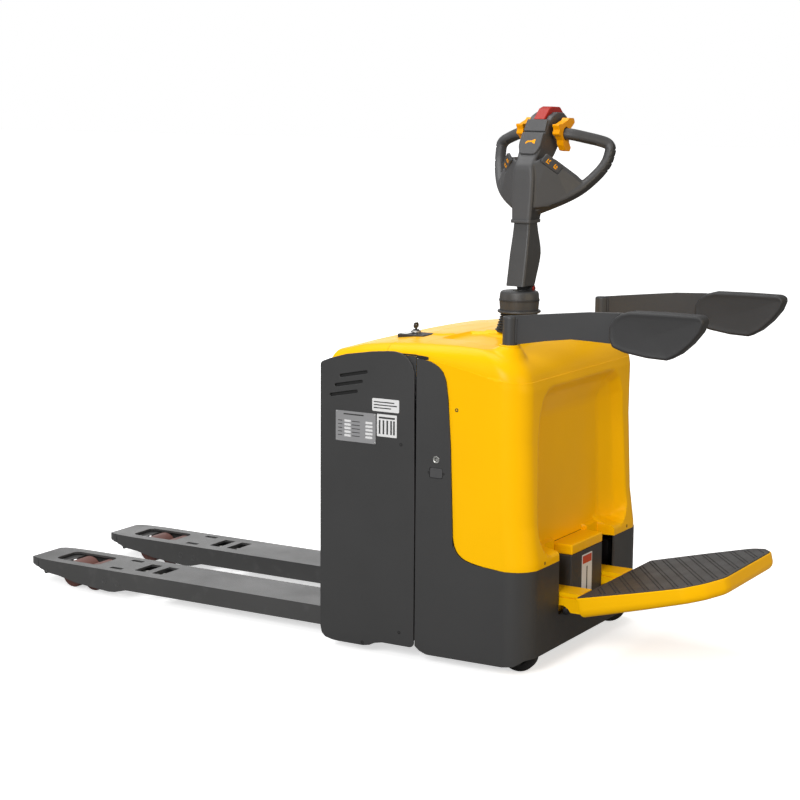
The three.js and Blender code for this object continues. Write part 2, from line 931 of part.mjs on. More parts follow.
// The horn plate lies on the sloping face below the switch.
const HORN = acrossX([
  [30, 33, 1356],
  [34, 42, 1372],
  [34, 70, 1417],
  [30, 45, 1351],
  [34, 82, 1412],
]);

// A two-symbol rocker pad on each wing.
function padPoints(s) {
  const at = (u, y, z) => [STEER_X + s * u, y, z];
  return [
    at(44, 24, 1340),
    at(60, 30, 1362),
    at(97, 74, 1328),
    at(76, 58, 1304),
    at(44, 40, 1336),
    at(60, 46, 1358),
    at(97, 90, 1324),
    at(76, 74, 1300),
  ];
}

const throttleRoom = [-1, 1].map((s) => {
  const lo = Math.min(STEER_X + s * 36, STEER_X + s * 73);
  const ring = rod([lo, HUB[0], HUB[1]], [lo + 37, HUB[0], HUB[1]], 53, 53, 24);
  return cut(ring, rod([lo - 1, HUB[0], HUB[1]], [lo + 38, HUB[0], HUB[1]], 17));
});
const headBody = cut(
  headSolid(),
  ...throttleRoom,
  pocket(SWITCH, 0.6, [0, -1.4, -3.8]),
  pocket(HORN, 0.6, [0, 1.8, -1.1]),
  pocket(padPoints(-1), 1.8, [0, 0, 0]),
  pocket(padPoints(1), 1.8, [0, 0, 0]),
);
node("tiller_head", headBody, MAT.head);
node("belly_switch", hull(SWITCH), MAT.red);
node("horn_button", hull(HORN), MAT.head);
SIDES.forEach(([side, s]) => {
  node("throttle_" + side, throttle(s), MAT.amber);
  node("lift_pad_" + side, hull(padPoints(s)), MAT.head);
});

// ---- castors -------------------------------------------------------------------------------------

// Castor for the right side, built with its trail along +X and then turned about the swivel axis.
function castorFork() {
  const head = rod([0, 0, 112], [0, 0, 118.6], 44, 44, 24);
  const arm = (y) =>
    prismY(
      [
        [-22, 113],
        [22, 113],
        [CASTOR_TRAIL + 12, 62],
        [CASTOR_TRAIL + 12, 40],
        [CASTOR_TRAIL - 12, 40],
        [CASTOR_TRAIL - 14, 62],
      ],
      y - 2.5,
      y + 2.5,
    );
  const axle = rod([CASTOR_TRAIL, -26, 50], [CASTOR_TRAIL, 26, 50], 6, 6, 20);
  return add(head, arm(24.5), arm(-24.5), axle);
}

function castorWheel() {
  const made = roller(0, 50, 19, 6.5, 50, 5);
  return moved(made, CASTOR_TRAIL, 0, 0);
}

SIDES.forEach(([side, s]) => {
  const turn = (made) =>
    moved(made.rotate([0, 0, CASTOR_TURN[side]]), CASTOR_X, s * CASTOR_Y, 0);
  node("castor_fork_" + side, turn(castorFork()), MAT.steel);
  node("castor_wheel_" + side, turn(castorWheel()), MAT.tyre);
});

// ---- guard arms ----------------------------------------------------------------------------------

const ARM_OUTLINE = [
  [530, 880],
  [568, 880],
  [640, 893],
  [714, 903],
  [826, 900],
  [900, 900],
  [900, 975],
  [850, 980],
  [760, 976],
  [684, 968],
  [530, 951],
];
const PAD_OUTLINE = [
  [826, 915],
  [826, 945],
  [840, 968],
  [860, 981],
  [883, 987],
  [980, 988.5],
  [1067, 988],
  [1080, 982],
  [1082, 970],
  [1072, 945],
  [1048, 915],
  [1018, 888],
  [986, 870],
  [930, 872],
  [870, 881],
  [835, 893],
];
SIDES.forEach(([side, s]) => {
  const y = s * POST_Y;
  const blade = prismY(ARM_OUTLINE, y - 6, y + 6);
  const post = rod([POST_X, y, 703], [POST_X, y, 951], 20, 20, 22);
  const pad = prismY(PAD_OUTLINE, y - 23, y + 23);
  const slit = common(prismY(ARM_OUTLINE, y - 6.3, y + 6.3), box(500, 890.4, y - 40, y + 40, 0, 1000));
  const tip = box(500, 890, y - 40, y + 40, 860, 1000);
  node("guard_arm_" + side, add(common(blade, tip), post), MAT.grey);
  node("guard_pad_" + side, cut(pad, slit), MAT.foam);
});

// ---- operator platform ---------------------------------------------------------------------------

function platePlan(inset) {
  const half = [
    [inset, 245 - inset],
    [90, 252 - inset],
    [180, 258 - inset],
    [310 - inset / 2, 258 - inset],
    [363 - inset, 225 - inset / 2],
    [397 - inset, 172 - inset / 2],
    [401 - inset, 150],
  ];
  return bothSides(half);
}

function tilted(made) {
  return moved(made.rotate([0, (-PLATE_TILT * 180) / Math.PI, 0]), 722, 0, 208);
}

// Shallow pan, open below, with lugs that hang on the bracket pins.
function platform() {
  const pan = cut(
    prismZ(platePlan(0), -43, 0),
    prismZ(platePlan(6), -60, -6),
    box(-10, 30, -186, 186, -60, -6),
  );
  const dx = PLATE_PIVOT[0] - 722;
  const dz = PLATE_PIVOT[1] - 208;
  const along = dx * Math.cos(PLATE_TILT) + dz * Math.sin(PLATE_TILT);
  const below = -dx * Math.sin(PLATE_TILT) + dz * Math.cos(PLATE_TILT);
  const lugs = [-186, -94, 84, 176].map((y) =>
    add(
      rod([along, y, below], [along, y + 10, below], 13),
      box(along - 13, along + 30, y, y + 10, below, -5),
    ),
  );
  const pins = [-186, 84].map((y) => rod([along, y, below], [along, y + 102, below], 7.5, 7.5, 24));
  return tilted(add(pan, ...lugs, ...pins));
}

node("platform_plate", platform(), MAT.yellow);

function mat() {
  const sheet = prismZ(platePlan(9), 0.3, 3.3);
  return tilted(sheet);
}

node("platform_mat", mat(), MAT.rubber);

function bracket() {
  const [px, pz] = PLATE_PIVOT;
  const web = prismY(
    [
      [596.4, 137.5],
      [596.4, 200],
      [704, 200],
      [704, 182],
      [px, 182],
      [px, pz - 14],
      [716, 160],
      [700, 134],
      [672, 134],
      [666, 150],
      [652, 160],
      [636, 158],
      [626, 137.5],
    ],
    98.6,
    171.4,
  );
  const eye = rod([px, 98.6, pz], [px, 171.4, pz], 14);
  return cut(add(web, eye), rod([px, 90, pz], [px, 180, pz], 8));
}

const bracketSolid = bracket();
SIDES.forEach(([side, s]) => node("platform_bracket_" + side, sided(bracketSolid, s), MAT.yellow));

const bounds = new THREE.Box3().setFromObject(group);
group.position.x = -(bounds.min.x + bounds.max.x) / 2;

export default group;
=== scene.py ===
import math

import bmesh
import bpy
import numpy as np
from mathutils import Matrix, Vector


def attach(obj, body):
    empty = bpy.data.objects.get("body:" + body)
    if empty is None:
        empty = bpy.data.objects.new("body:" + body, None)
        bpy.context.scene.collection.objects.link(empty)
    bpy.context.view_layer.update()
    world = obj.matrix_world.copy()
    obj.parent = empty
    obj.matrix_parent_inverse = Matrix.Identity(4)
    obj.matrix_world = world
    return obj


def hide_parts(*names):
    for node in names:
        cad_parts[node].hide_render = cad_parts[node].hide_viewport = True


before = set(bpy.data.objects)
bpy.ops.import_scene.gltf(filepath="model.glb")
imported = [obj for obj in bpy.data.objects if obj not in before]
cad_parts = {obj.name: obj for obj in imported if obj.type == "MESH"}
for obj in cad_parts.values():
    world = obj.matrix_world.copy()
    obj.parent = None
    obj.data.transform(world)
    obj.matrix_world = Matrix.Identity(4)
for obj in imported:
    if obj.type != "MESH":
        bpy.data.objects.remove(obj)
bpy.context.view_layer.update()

# Millimetres from the fork heel, as the CAD source counts them; the row frame is shifted by this much.
SHIFT = 14.020751953125
SIDES = (("left", -1), ("right", 1))
STEER_X = 416.0  # steering axis
PANEL_Y = 368.0  # half width over the covers
HOOD_Y = 364.0  # half width over the hood
CORNER = 70.0  # radius of the hood's rear corners, seen from above
SEAM_A = 204.6  # cross seam between lid and strip
SEAM_B = 299.6  # cross seam between strip and hood
FORK_MID = 192.0  # fork centre line from the middle
POST = (536.0, 283.0)  # guard posts, along and across
HUB = (138.0, 1414.0)  # throttle shaft, across and up
KEY = (186, -170, 0)  # foot of the axis of the ignition key
HINGE = (733, 188)  # platform pins, along and up


def V(x, y, z):
    return Vector(((x + SHIFT) / 1000, y / 1000, z / 1000))


# ---- node materials ------------------------------------------------------------------------------


def node(nt, kind, **inputs):
    """A new shader node with the values of some inputs, named with _ for a space."""
    made = nt.nodes.new("ShaderNode" + kind)
    for key, value in inputs.items():
        made.inputs[key.replace("_", " ")].default_value = value
    return made


def ranged(nt, source, low, high, start=0.0, end=1.0):
    """A value between start and end, spread over low to high."""
    made = node(nt, "MapRange", From_Min=start, From_Max=end, To_Min=low, To_Max=high)
    nt.links.new(source, made.inputs["Value"])
    return made.outputs["Result"]


def mixed(nt, factor):
    made = nt.nodes.new("ShaderNodeMix")
    made.data_type = "RGBA"
    nt.links.new(factor, made.inputs["Factor"])
    return made


def material(name, color, rough, metal=0.0, coat=0.0, grain=0.0, bump=0.0, scale=60.0, wear=0.0, spec=0.5):
    """A principled surface whose colour, roughness and height all vary with noise."""
    m = bpy.data.materials.new(name)
    m.use_nodes = True
    nt = m.node_tree
    shade = nt.nodes["Principled BSDF"].inputs
    shade["Metallic"].default_value = metal
    shade["Coat Weight"].default_value = coat
    shade["Coat Roughness"].default_value = 0.12
    shade["Specular IOR Level"].default_value = spec
    place = nt.nodes.new("ShaderNodeTexCoord")

    def noise(size, detail=3.0):
        made = node(nt, "TexNoise", Scale=size, Detail=detail)
        nt.links.new(place.outputs["Object"], made.inputs["Vector"])
        return made.outputs["Fac"]

    mix = mixed(nt, ranged(nt, noise(3.0), 0, 1, 0.3, 0.7))
    mix.inputs["A"].default_value = (*[c * (1 - grain - 0.03) for c in color], 1)
    mix.inputs["B"].default_value = (*[min(1.0, c * (1 + grain + 0.03)) for c in color], 1)
    out = mix.outputs["Result"]
    if wear:
        worn = mixed(nt, ranged(nt, noise(24.0, 8.0), 0, wear, 0.58, 0.72))
        worn.inputs["B"].default_value = (*[min(1.0, c * 1.8 + 0.05) for c in color], 1)
        nt.links.new(out, worn.inputs["A"])
        out = worn.outputs["Result"]
    nt.links.new(out, shade["Base Color"])
    nt.links.new(ranged(nt, noise(9.0), rough * 0.9, min(1.0, rough * 1.12), 0.3, 0.7), shade["Roughness"])
    if bump:
        height = node(nt, "Bump", Strength=bump, Distance=0.0006)
        nt.links.new(noise(scale * 10, 2.0), height.inputs["Height"])
        nt.links.new(height.outputs["Normal"], shade["Normal"])
    return m


YELLOW = material("enamel_yellow", (0.97, 0.51, 0.0), 0.34, bump=0.05, scale=40, spec=0.12)
GREY = material("powder_grey", (0.034, 0.034, 0.0345), 0.52, bump=0.3, scale=120, grain=0.02)
FORK = material("fork_coat", (0.06, 0.0595, 0.059), 0.36, bump=0.25, scale=90, grain=0.04, wear=0.12)
ARM = material("arm_coat", (0.042, 0.0425, 0.044), 0.45, bump=0.3, scale=120, grain=0.02)
BLACK = material("moulded_black", (0.018, 0.018, 0.019), 0.5, bump=0.25, scale=150)
DARK = material("deep_black", (0.006, 0.006, 0.006), 0.7, bump=0.2, scale=90)
RUBBER = material("rubber_black", (0.012, 0.012, 0.013), 0.62, bump=0.35, scale=110)
FOAM = material("skinned_foam", (0.024, 0.024, 0.025), 0.56, bump=0.5, scale=140, grain=0.03)
HEAD = material("head_plastic", (0.058, 0.058, 0.06), 0.5, bump=0.35, scale=160, grain=0.02)
GRIP = material("grip_rubber", (0.02, 0.02, 0.021), 0.6, bump=0.4, scale=140)
AMBER = material("throttle_yellow", (0.94, 0.37, 0.0), 0.38, bump=0.05, spec=0.15)
RED = material("switch_red", (0.38, 0.02, 0.012), 0.42, bump=0.1, spec=0.2)
PU = material("polyurethane", (0.15, 0.062, 0.05), 0.5, bump=0.2, scale=70, grain=0.08, wear=0.1)
STEEL = material("bright_steel", (0.55, 0.55, 0.54), 0.32, metal=1.0, bump=0.15, scale=80)
ZINC = material("zinc_plate", (0.42, 0.42, 0.4), 0.42, metal=1.0, bump=0.2, scale=60, grain=0.06)
IRON = material("cast_iron", (0.06, 0.058, 0.055), 0.6, metal=0.4, bump=0.6, scale=50, grain=0.08)
MAT = material("tread_mat", (0.036, 0.036, 0.0365), 0.6, bump=0.4, scale=120, grain=0.04)
LABEL = material("label_white", (0.72, 0.72, 0.72), 0.4, bump=0.05)
PLATE = material("label_alloy", (0.42, 0.42, 0.43), 0.38, metal=0.6, bump=0.1, scale=120)
INK = material("label_ink", (0.03, 0.03, 0.03), 0.5, bump=0.05)
BAND = material("label_red", (0.55, 0.06, 0.02), 0.45, bump=0.05)
GLASS = material("display_glass", (0.02, 0.03, 0.025), 0.12, coat=0.6, bump=0.02)


# ---- mesh tools ----------------------------------------------------------------------------------


def added(name, data):
    """A new object in the scene."""
    ob = bpy.data.objects.new(name, data)
    bpy.context.scene.collection.objects.link(ob)
    return ob


def from_bmesh(name, bm):
    me = bpy.data.meshes.new(name)
    bm.to_mesh(me)
    bm.free()
    return added(name, me)


def mesh_object(name, points, faces):
    me = bpy.data.meshes.new(name)
    me.from_pydata([V(*p) for p in points], [], faces)
    me.validate()
    return added(name, me)


def baked(ob):
    """The object's mesh with its modifiers applied."""
    dg = bpy.context.evaluated_depsgraph_get()
    me = bpy.data.meshes.new_from_object(ob.evaluated_get(dg))
    old = ob.data
    ob.modifiers.clear()
    ob.data = me
    bpy.data.meshes.remove(old)
    return ob


def normals_out(ob):
    bm = bmesh.new()
    bm.from_mesh(ob.data)
    bmesh.ops.recalc_face_normals(bm, faces=bm.faces)
    bm.to_mesh(ob.data)
    bm.free()
    return ob


def boolean(ob, other, how="DIFFERENCE"):
    """Cuts or joins one object or a list of them, which are used up."""
    others = other if isinstance(other, (list, tuple)) else [other]
    for o in others:
        m = ob.modifiers.new("b", "BOOLEAN")
        m.operation = how
        m.solver = "EXACT"
        m.object = o
        baked(ob)
    for o in others:
        bpy.data.objects.remove(o)
    return ob


def bevel(ob, width, segments=3, angle=35.0):
    m = ob.modifiers.new("v", "BEVEL")
    m.width = width / 1000
    m.segments = segments
    m.limit_method = "ANGLE"
    m.angle_limit = math.radians(angle)
    m.harden_normals = False
    m.use_clamp_overlap = True
    return baked(ob)


def done(ob, mat, body, replaces=(), angle=40.0, flat=True):
    """Gives a piece its material, shading and body, and hides the CAD nodes that it stands for."""
    me = ob.data
    me.materials.clear()
    me.materials.append(mat)
    me.polygons.foreach_set("material_index", [0] * len(me.polygons))
    me.polygons.foreach_set("use_smooth", [True] * len(me.polygons))
    me.set_sharp_from_angle(angle=math.radians(angle))
    if flat:
        w = ob.modifiers.new("flat", "WEIGHTED_NORMAL")
        w.keep_sharp = True
        w.weight = 60
    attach(ob, body)
    if replaces:
        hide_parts(*replaces)
    return ob


def join(name, obs):
    """One object from several, without melting them together."""
    bm = bmesh.new()
    for o in obs:
        me = o.data.copy()
        me.transform(o.matrix_world)
        bm.from_mesh(me)
        bpy.data.meshes.remove(me)
    for o in obs:
        bpy.data.objects.remove(o)
    return from_bmesh(name, bm)


def prism(name, outline, axis, lo, hi):
    """A flat outline pushed along an axis: 'z' takes (x, y), 'y' takes (x, z), 'x' takes (y, z)."""
    put = {
        "z": lambda a, b, t: (a, b, t),
        "y": lambda a, b, t: (a, t, b),
        "x": lambda a, b, t: (t, a, b),
    }[axis]
    return between(name, [[put(a, b, t) for a, b in outline] for t in (lo, hi)])


def between(name, ends):
    """A solid between two matching outlines."""
    n = len(ends[0])
    faces = [tuple(range(n)), tuple(range(2 * n - 1, n - 1, -1))]
    faces += [(i, (i + 1) % n, n + (i + 1) % n, n + i) for i in range(n)]
    return normals_out(mesh_object(name, ends[0] + ends[1], faces))


def rect(a0, a1, b0, b1):
    return [(a0, b0), (a1, b0), (a1, b1), (a0, b1)]


def block(name, x0, x1, y0, y1, z0, z1):
    return prism(name, rect(x0, x1, y0, y1), "z", z0, z1)


def rings(name, loops):
    """A solid skinned over matching closed loops of points."""
    n = len(loops[0])
    pts = [p for loop in loops for p in loop]
    faces = []
    for k in range(len(loops) - 1):
        for i in range(n):
            j = (i + 1) % n
            faces.append((k * n + i, k * n + j, (k + 1) * n + j, (k + 1) * n + i))
    faces.append(tuple(range(n - 1, -1, -1)))
    faces.append(tuple(range((len(loops) - 1) * n, len(loops) * n)))
    return normals_out(mesh_object(name, pts, faces))


def rod(name, r, length, start, axis, steps, low=0.0):
    """A plain round bar along an axis."""
    return turned(name, [(0, low), (r, low), (r, length), (0, length)], start, axis, steps)


def turned(name, profile, centre, axis="z", steps=64):
    """A closed (radius, height) profile turned about a line through centre, along an axis or vector."""
    named = {"x": (1, 0, 0), "y": (0, 1, 0), "z": (0, 0, 1)}
    ax = Vector(named[axis] if isinstance(axis, str) else axis).normalized()
    u = ax.orthogonal().normalized()
    w = ax.cross(u)
    c = Vector(centre)
    loops = []
    for i in range(steps):
        a = 2 * math.pi * i / steps
        d = u * math.cos(a) + w * math.sin(a)
        loops.append([tuple(c + d * r + ax * h) for r, h in profile])
    n = len(profile)
    pts = [p for loop in loops for p in loop]
    faces = []
    for k in range(steps):
        kk = (k + 1) % steps
        for i in range(n):
            j = (i + 1) % n
            faces.append((k * n + i, k * n + j, kk * n + j, kk * n + i))
    ob = mesh_object(name, pts, faces)
    bm = bmesh.new()
    bm.from_mesh(ob.data)
    bmesh.ops.remove_doubles(bm, verts=bm.verts, dist=1e-6)
    bmesh.ops.dissolve_degenerate(bm, edges=bm.edges, dist=1e-7)
    bmesh.ops.recalc_face_normals(bm, faces=bm.faces)
    bm.to_mesh(ob.data)
    bm.free()
    return ob


def arc(cx, cy, r, a0, a1, n):
    return [
        (cx + r * math.cos(math.radians(a0 + (a1 - a0) * i / n)),
         cy + r * math.sin(math.radians(a0 + (a1 - a0) * i / n)))
        for i in range(n + 1)
    ]


def rounded(points, r, n=5):
    """An outline with each corner rounded; r is one radius or one for each corner."""
    out = []
    m = len(points)
    for i in range(m):
        p = Vector((*points[i],))
        a = Vector((*points[i - 1],)) - p
        b = Vector((*points[(i + 1) % m],)) - p
        rr = r[i] if isinstance(r, (list, tuple)) else r
        half = a.angle(b) / 2
        reach = min(rr / max(math.tan(half), 1e-3), a.length * 0.49, b.length * 0.49)
        if rr < 0.05 or half > math.radians(89):
            out.append(tuple(p))
            continue
        s = p + a.normalized() * reach
        e = p + b.normalized() * reach
        for k in range(n + 1):
            t = k / n
            out.append(tuple(s * (1 - t) ** 2 + p * 2 * t * (1 - t) + e * t * t))
    return out


def lerp_table(table, t):
    """A height read off a table of (place, height) pairs."""
    return float(np.interp(t, [a for a, _ in table], [b for _, b in table]))


def spline(points, n):
    """Points along a smooth curve through the given ones."""
    p = [Vector(q) for q in points]
    p = [p[0] * 2 - p[1]] + p + [p[-1] * 2 - p[-2]]
    out = []
    for i in range(1, len(p) - 2):
        for k in range(n):
            t = k / n
            a, b, c, d = p[i - 1], p[i], p[i + 1], p[i + 2]
            out.append(0.5 * ((2 * b) + (c - a) * t + (2 * a - 5 * b + 4 * c - d) * t * t
                              + (3 * b - a - 3 * c + d) * t ** 3))
    out.append(p[-2])
    return out


def sweep(name, path, section, up=(0, 0, 1)):
    """A closed section, which is a function of the share of the way, carried along a path."""
    path = [Vector(q) for q in path]
    up = Vector(up)
    loops = []
    m = len(path)
    for k, p in enumerate(path):
        t = (path[min(k + 1, m - 1)] - path[max(k - 1, 0)]).normalized()
        side = t.cross(up).normalized()
        top = side.cross(t).normalized()
        loops.append([tuple(p + side * a + top * b) for a, b in section(k / (m - 1))])
    return rings(name, loops)


# ---- yellow body: hood, strip and battery lid ----------------------------------------------------

SKIRT_LINE = [
    (304, 831), (339, 827), (367, 815), (382, 800), (392, 777), (399, 728), (408, 596), (417, 355),
    (421, 338), (429, 321), (440, 310), (452, 303), (480, 295), (509, 291), (574, 286),
]
REAR_LINE = [
    (284, 640), (300, 640), (400, 626), (620, 616), (760, 617), (785, 613), (815, 600), (840, 580),
]
CREASE = [(25, 792), (110, 814), (204, 829), (300, 835), (351, 828), (455, 809), (519, 794), (604, 783)]
CROWN = [(41, 839), (110, 857), (204, 868), (300, 873), (400, 874), (450, 872), (500, 868), (546, 860)]
TRAY = [(300, -222), (304, -70), (388, -46), (484, -60), (500, -236), (459, -258)]
RECESS = [(281, 150), (281, 380), (268, 620), (260, 690), (240, 735), (210, 757), (180, 762)]
RECESS += [(-y, z) for y, z in reversed(RECESS)]
HOOD_LOW = 286.6
SHOULDER = 45  # width of the round shoulder
LEDGE = 1.8  # narrow step at the crease


def step(t):
    t = min(1.0, max(0.0, t))
    return t * t * (3 - 2 * t)


def bend(share, angle):
    """How far in the shoulder has come: mostly a quarter circle, and partly a straight lean."""
    return 0.14 * share + 0.86 * (1 - math.cos(angle))


def inside_by(poly, x, y):
    """How far a point lies inside a polygon; negative outside it."""
    best = 1e9
    inside = False
    n = len(poly)
    for i in range(n):
        ax, ay = poly[i - 1]
        bx, by = poly[i]
        dx, dy = bx - ax, by - ay
        t = max(0.0, min(1.0, ((x - ax) * dx + (y - ay) * dy) / (dx * dx + dy * dy)))
        best = min(best, math.hypot(x - ax - t * dx, y - ay - t * dy))
        if (ay > y) != (by > y) and x < ax + dx * (y - ay) / dy:
            inside = not inside
    return best if inside else -best


def crown(x, y):
    """Height of the yellow top, which rounds down at its front edge and a little to both sides."""
    if x < 41:
        c = max(0.0, min(1.0, (x - 25) / 16))
        top = 822 + 17 * math.sqrt(max(0.0, 1 - (1 - c) ** 2))
    else:
        top = lerp_table(CROWN, x)
    return top - 6 * (y / 320) ** 2


def relief(x, y):
    """Moulded steps in the top: a tray, an oval boss, a ring round the column and a hollow at each post."""
    z = -8 * step((inside_by(TRAY, x, y) + 3) / 9)
    oval = 1 - math.hypot((x - 262) / 40, (y + 150) / 26)
    z += 3.5 * step(oval * 3.2)
    z += 4 * step((26 - abs(math.hypot(x - STEER_X, y) - 72)) / 12) * (1 if x > 340 else 0.6)
    for s in (-1, 1):
        z -= 3 * step((36 - math.hypot(x - POST[0], y - s * POST[1])) / 7)
    return z


SHARE = (78, 34, 150, 34, 78)  # steps in each stretch of a ring


def plan_ring(rear, half, r, x0):
    """Open outline from (x0, -half) round the rear to (x0, half), sampled along its five stretches."""
    cx, cy = rear - r, half - r
    parts = [
        [(x0, -half), (cx, -half)],
        [(cx + r * math.sin(math.radians(a)), -cy - r * math.cos(math.radians(a)))
         for a in np.linspace(0, 90, 25)],
        [(rear, -cy), (rear, cy)],
        [(cx + r * math.cos(math.radians(a)), cy + r * math.sin(math.radians(a)))
         for a in np.linspace(0, 90, 25)],
        [(cx, half), (x0, half)],
    ]
    out = []
    for part, count in zip(parts, SHARE):
        p = np.array(part)
        d = np.concatenate([[0], np.cumsum(np.hypot(*np.diff(p, axis=0).T))])
        for k in range(count):
            s = d[-1] * k / count
            out.append((np.interp(s, d, p[:, 0]), np.interp(s, d, p[:, 1])))
    out.append(tuple(parts[-1][-1]))
    return out


def skirt_front(z):
    zs = [b for _, b in reversed(SKIRT_LINE)]
    xs = [a for a, _ in reversed(SKIRT_LINE)]
    return float(np.interp(z - 0.8, zs, xs)) + 0.8


RIM = [(176, 311), (225, 311), (245, 318), (265, 338), (277, 360), (281, 390)]
WALL = [(0, 0), (2.5, 1), (7, 5.5), (27, 23), (35, 26.5), (78, 41), (92, 43)]


def recessed(x, y, z):
    """The x of a hood point, moved in by the rear recess and by the notch round the rear housing."""
    if x < 573 or z > 762 or abs(y) > 281:
        return x
    d = inside_by(RECESS, y, z)
    if abs(y) > 176:
        d = min(d, 3.5 * (z - lerp_table(RIM, abs(y))))
    elif abs(y) > 98 and z < 326:
        return 588
    return x - (x - 573) * lerp_table(WALL, max(0.0, d)) / 43


def post_boss(x, y, z):
    """The hood swells up round each guard post."""
    near = math.hypot(x - POST[0], abs(y) - POST[1])
    return z + max(0.0, 873 - z) * step((46 - near) / 20) if z > 800 else z


def shell(name, loops, is_open):
    """A sheet over matching open loops, without the faces whose centre is open, made 4 mm thick."""
    n = len(loops[0])
    pts = [p for loop in loops for p in loop]
    faces = []
    for k in range(len(loops) - 1):
        for i in range(n - 1):
            q = (k * n + i, k * n + i + 1, (k + 1) * n + i + 1, (k + 1) * n + i)
            if not is_open(*[sum(pts[v][j] for v in q) / 4 for j in range(3)]):
                faces.append(q)
    return skinned(name, pts, faces, 4.0)


def hood_open(x, y, z):
    """Holes round the steering column and the guard posts, and the room of the housing cap."""
    if z > 800:
        return math.hypot(x - STEER_X, y) < 42 or math.hypot(x - POST[0], abs(y) - POST[1]) < 22.5
    return z < 314 and abs(y) < 98.5 and x > 560


def hood():
    """Sides in rows from the skirt to the crease, then the round shoulder, then the crowned top."""
    loops = []
    rows, turns, spokes = 96, 18, 70
    for k in range(rows + 1):
        t = k / rows
        x0 = 570.0
        for _ in range(40):
            z0 = HOOD_LOW + t * (lerp_table(CREASE, x0) - HOOD_LOW)
            x0 = 0.5 * x0 + 0.5 * min(569.0, skirt_front(z0) if z0 < 831.8 else SEAM_B)
        x0 = SEAM_B if t > 0.995 else x0
        ring = plan_ring(lerp_table(REAR_LINE, HOOD_LOW + t * (783 - HOOD_LOW)), HOOD_Y, CORNER, x0)
        loops.append([(x, y, HOOD_LOW + t * (lerp_table(CREASE, x) - HOOD_LOW)) for x, y in ring])
    base = loops[-1]
    inner = plan_ring(500, HOOD_Y - SHOULDER, 66, SEAM_B)
    for k in [0.15] + list(range(1, turns + 1)):
        a = math.radians(90 * k / turns)
        loop = []
        for (x, y, z), (qx, qy) in zip(base, inner):
            c = bend(k / turns, a)
            c += LEDGE / math.hypot(qx - x, qy - y) * (1 - k / turns)
            px, py = x + (qx - x) * c, y + (qy - y) * c
            loop.append((px, py, z + (crown(qx, qy) - z) * math.sin(a) + relief(px, py) * step(a - 0.6)))
        loops.append(loop)
    for k in range(1, spokes + 1):
        u = 1 - k / spokes
        loop = []
        for qx, qy in inner:
            cx = min(qx, 430)
            px, py = cx + (qx - cx) * u, qy * u
            loop.append((px, py, crown(px, py) + relief(px, py)))
        loops.append(loop)
    loops = [[(recessed(x, y, z), y if x > 308 else max(-363.2, min(363.2, y)), post_boss(x, y, z))
              for x, y, z in loop] for loop in loops]
    return shell("hood_shell", loops, hood_open)


def skinned(name, pts, faces, thick):
    """A sheet given its wall thickness on the inside."""
    ob = mesh_object(name, pts, faces)
    bm = bmesh.new()
    bm.from_mesh(ob.data)
    bmesh.ops.remove_doubles(bm, verts=bm.verts, dist=1e-5)
    loose = [v for v in bm.verts if not v.link_faces]
    bmesh.ops.delete(bm, geom=loose, context="VERTS")
    bmesh.ops.recalc_face_normals(bm, faces=bm.faces)
    centre = sum((v.co for v in bm.verts), Vector()) / len(bm.verts)
    centre.z = V(0, 0, 500).z
    out = sum((f.normal.dot(f.calc_center_median() - centre) * f.calc_area() for f in bm.faces))
    if out < 0:
        bmesh.ops.reverse_faces(bm, faces=bm.faces)
    bm.to_mesh(ob.data)
    bm.free()
    m = ob.modifiers.new("s", "SOLIDIFY")
    m.thickness = thick / 1000
    m.offset = -1
    m.use_even_offset = False
    m.thickness_clamp = 1.0
    return baked(ob)


def panel_open(x, y, z):
    """The hole under the instrument panel."""
    return z > 850 and 146 < x < 234 and -214 < y < -140


def top_slab(name, xs, floor, front):
    """A stretch of the crowned top between two cross cuts, with its side walls."""
    half = 361.2
    loops = []

    def section(x, squeeze=0.0):
        zc = lerp_table(CREASE, x)
        out = [(-half, floor + (zc - floor) * k / 8) for k in range(8)]
        for k in range(17):
            a = math.radians(90 * k / 16)
            y = half - SHOULDER * bend(k / 16, a) - (LEDGE * (1 - k / 16) if k else 0)
            z = zc + (crown(x, y) - zc) * math.sin(a)
            out.append((-y, z))
        flat = half - SHOULDER
        out += [(-flat + 2 * flat * k / 90, crown(x, -flat + 2 * flat * k / 90)) for k in range(1, 90)]
        out += [(-y, z) for y, z in reversed(out[:25])]
        return [(x, y, min(z, floor + (z - floor) * (1 - squeeze)) + (relief(x, y) if z > 845 else 0))
                for y, z in out]

    if front:
        loops += [section(xs[0], s) for s in (1.0, 0.75, 0.5, 0.25)]
    loops += [section(x) for x in xs]
    return shell(name, loops, panel_open)


done(hood(), YELLOW, "chassis", ["hood"], 46, False)
lid_rows = [25 + 16 * (1 - math.cos(math.radians(a))) for a in range(0, 91, 11)]
lid_rows += [41 + (SEAM_A - 41) * k / 40 for k in range(1, 41)]
done(top_slab("lid_shell", lid_rows, 762, True), YELLOW, "lid", ["battery_lid"], 46, False)
strip_rows = [205.4 + 93.4 * k / 26 for k in range(27)]
done(top_slab("strip_shell", strip_rows, 781, False), YELLOW, "chassis", ["top_strip"],
     46, False)


# ---- tiller and steering head --------------------------------------------------------------------


def hull_of(name, points):
    bm = bmesh.new()
    for p in points:
        bm.verts.new(V(*p))
    bm.verts.ensure_lookup_table()
    res = bmesh.ops.convex_hull(bm, input=bm.verts)
    spare = list({g for g in res["geom_interior"] + res["geom_unused"] if isinstance(g, bmesh.types.BMVert)})
    bmesh.ops.delete(bm, geom=spare, context="VERTS")
    bmesh.ops.dissolve_limit(bm, angle_limit=math.radians(2), verts=bm.verts, edges=bm.edges)
    return normals_out(from_bmesh(name, bm))


